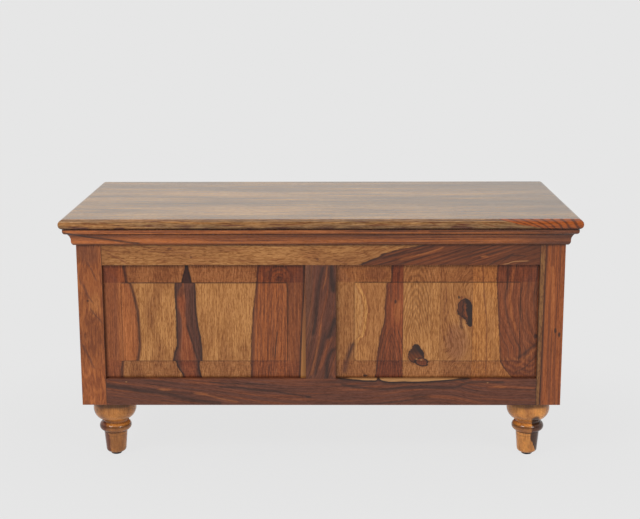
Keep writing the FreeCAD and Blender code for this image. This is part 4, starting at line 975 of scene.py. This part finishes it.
# The staves of the side panels: where each starts from front to back, and its tone
SIDE_STAVES = {
    "left": ((-98, CHOCOLATE), (-58, HONEY), (12, RUSSET), (74, GOLD), (126, CHESTNUT)),
    "right": ((-116, RUSSET), (-46, GOLD), (28, CHOCOLATE), (58, AMBER), (118, HONEY)),
}


def dress_front():
    """The boards that the photograph shows."""
    dress("panel_front_left", left_front_panel())
    dress("panel_front_right", right_front_panel())
    dress("rail_front_top", top_rail())
    dress("rail_front_bottom", bottom_rail())
    dress("post_front_left", left_post())
    dress("post_front_right", right_post())
    dress("muntin_front", front_muntin())
    dress("cornice_front", cornice("front cornice", LEVEL_FRONT, 8))
    dress("lid_panel", lid_board())


def dress_sides():
    """The sides, the back and the inside; each board has a seed of its own."""
    dark, ruddy = (UMBER, CHOCOLATE, CHESTNUT, RUSSET), (CHESTNUT, RUSSET, AMBER)
    for seed, side in enumerate(("left", "right")):
        dress(f"cornice_{side}", cornice(f"{side} cornice", LEVEL_SIDE, 20 + seed))
        dress(f"rail_{side}_top", plain_board(f"{side} top rail", LEVEL_SIDE, 22 + seed))
        dress(f"rail_{side}_bottom", plain_board(f"{side} bottom rail", LEVEL_SIDE, 24 + seed, dark))
        dress(f"panel_{side}", side_panel(side, 26 + seed, SIDE_STAVES[side]))
        dress(f"post_rear_{side}", plain_board(f"rear {side} post", UPRIGHT_FRONT, 28 + seed, ruddy))
        dress(f"panel_back_{side}", raw_board(f"back {side} panel", UPRIGHT_FRONT, 30 + seed))
        dress(f"lid_batten_{side}", raw_board(f"{side} batten", FLAT_DEEP, 32 + seed))
    dress("rail_back_top", plain_board("back top rail", LEVEL_FRONT, 34))
    dress("rail_back_bottom", plain_board("back bottom rail", LEVEL_FRONT, 35))
    dress("muntin_back", plain_board("back muntin", UPRIGHT_FRONT, 36))
    dress("floor_board", raw_board("floor board", FLAT_LONG, 37))
    for seed, wall in enumerate(("front", "back", "left", "right")):
        axes = FLAT_LONG if wall in ("front", "back") else FLAT_DEEP
        dress(f"floor_ledger_{wall}", raw_board(f"{wall} ledger", axes, 38 + seed))


def dress_feet():
    """The turned feet, the blocks that carry them and their glides."""
    for seed, corner in enumerate(("front_left", "front_right", "rear_left", "rear_right")):
        low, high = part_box(f"foot_{corner}")
        middle = [(near + far)/2*MILLIMETRES for near, far in zip(low, high)]
        dress(f"foot_{corner}", turned_foot(corner, 50 + seed, *middle[:2]))
        dress(f"corner_block_{corner}", raw_board(f"{corner.replace('_', ' ')} block", FLAT_LONG, 54 + seed))
    dress("foot_glides", glide_plastic())


def dress_metal():
    """Brass hinges and stays; steel screws, rivets and bolts."""
    brass = metal("aged brass", BRASS, OLD_BRASS, 0.26)
    steel = metal("zinc steel", ZINC, DULL_ZINC, 0.3)
    for name in nodes:
        if any(word in name for word in ("screws", "rivets", "bolts")):
            dress(name, steel)
        elif "hinge" in name or "stay" in name:
            dress(name, brass)


def soften_wood():
    """Ease the arrises of the boards, less on mouldings and panels."""
    for name in nodes:
        if name.startswith(("rail", "post", "muntin", "lid_batten", "floor", "corner_block")):
            soften(name, 0.7)
        elif name.startswith(("cornice", "panel")):
            soften(name, 0.5)


def rays_of(sheet):
    """Two masks: 1 for what the camera sees straight, and 1 for what is seen in a shiny or clear surface."""
    rays = sheet.node("ShaderNodeLightPath", {}, {}).socket.node.outputs
    kinds = ("Camera", "Glossy", "Transmission")
    seen, glossy, clear = (Shade(sheet, rays[f"Is {kind} Ray"]) for kind in kinds)
    return seen, largest(glossy, clear)


def backdrop():
    """A pale backdrop all round, and a dim room behind the camera that only shows in gloss."""
    world = bpy.data.worlds.new("studio")
    bpy.context.scene.world = world
    sheet = Sheet(world, "Generated")
    forward, up = sheet.y/MILLIMETRES, sheet.z/MILLIMETRES
    seen, mirrored = rays_of(sheet)
    room = fall(forward, -0.5, 0.1)*band(up, 0.05, 0.72, 0.08)
    in_gloss = PALE - room*0.55
    falling = 0.1 + rise(forward, -0.5, 0.5)*0.6
    level = blend(blend(falling, in_gloss, mirrored), PALE, seen)
    background = world.node_tree.nodes["Background"]
    sheet.feed(background.inputs["Color"], WHITE)
    sheet.feed(background.inputs["Strength"], level)


def floor():
    """A pale floor that looks like the backdrop and keeps a soft shadow under the trunk."""
    bpy.ops.mesh.primitive_plane_add(size=200)
    plane = bpy.context.object
    plane.name = "floor"
    x, y, _ = surface("pale floor")
    sheet = x.sheet
    speckle = noise(x/9, y/9, 0)
    material = finish(mix(FLOOR_GREY, FLOOR_PALE, speckle), 0.9, speckle, 0.02)
    glow = sheet.node("ShaderNodeEmission", {}, {"Color": (PALE, PALE, PALE), "Strength": 1})
    seen, mirrored = rays_of(sheet)
    near = fall((x/620)**2 + (y/420)**2, 0.5, 2.2)
    share = largest(seen, mirrored)*(1 - near*0.06)
    paint = Shade(sheet, sheet.shader.outputs[0])
    both = sheet.node("ShaderNodeMixShader", {}, {0: share, 1: paint, 2: glow})
    sheet.feed(sheet.tree.nodes["Material Output"].inputs["Surface"], both)
    plane.data.materials.append(material)


def softbox(name, place, size, power):
    """A square lamp that points at the middle of the trunk."""
    middle = Vector((0, 0, 0.25))
    lamp = bpy.data.lights.new(name, "AREA")
    lamp.shape = "RECTANGLE"
    lamp.size, lamp.size_y = size
    lamp.energy = power
    box = bpy.data.objects.new(name, lamp)
    box.location = place
    box.rotation_euler = (middle - Vector(place)).to_track_quat("-Z", "Y").to_euler()
    bpy.context.scene.collection.objects.link(box)


def studio():
    """A pale floor that runs into a pale backdrop, two soft boxes in front and one above."""
    backdrop()
    floor()
    softbox("left softbox", (-1.9, -2.3, 2.5), (1.1, 1.1), 62)
    softbox("right softbox", (1.9, -2.5, 1.9), (1, 1.2), 36)
    softbox("top softbox", (0, -0.3, 2.8), (2.2, 1.6), 14)


def turn(degrees, axis):
    """A turn about one axis."""
    return Matrix.Rotation(math.radians(degrees), 4, axis)


def photograph():
    """The camera of the photograph."""
    pan, tilt, roll = 0.59, -11.954, 0.164
    lens = bpy.data.cameras.new("camera")
    lens.sensor_width = 36
    lens.lens = 72.852
    camera = bpy.data.objects.new("camera", lens)
    place = Matrix.Translation((0.0221, -2.4381, 0.8514))
    camera.matrix_world = place @ (turn(pan, "Z") @ turn(tilt, "X") @ turn(roll, "Y") @ turn(90, "X"))
    bpy.context.scene.collection.objects.link(camera)
    bpy.context.scene.camera = camera
    bpy.context.scene.view_settings.view_transform = "Standard"


dress_front()
dress_sides()
dress_feet()
dress_metal()
soften_wood()
studio()
photograph()
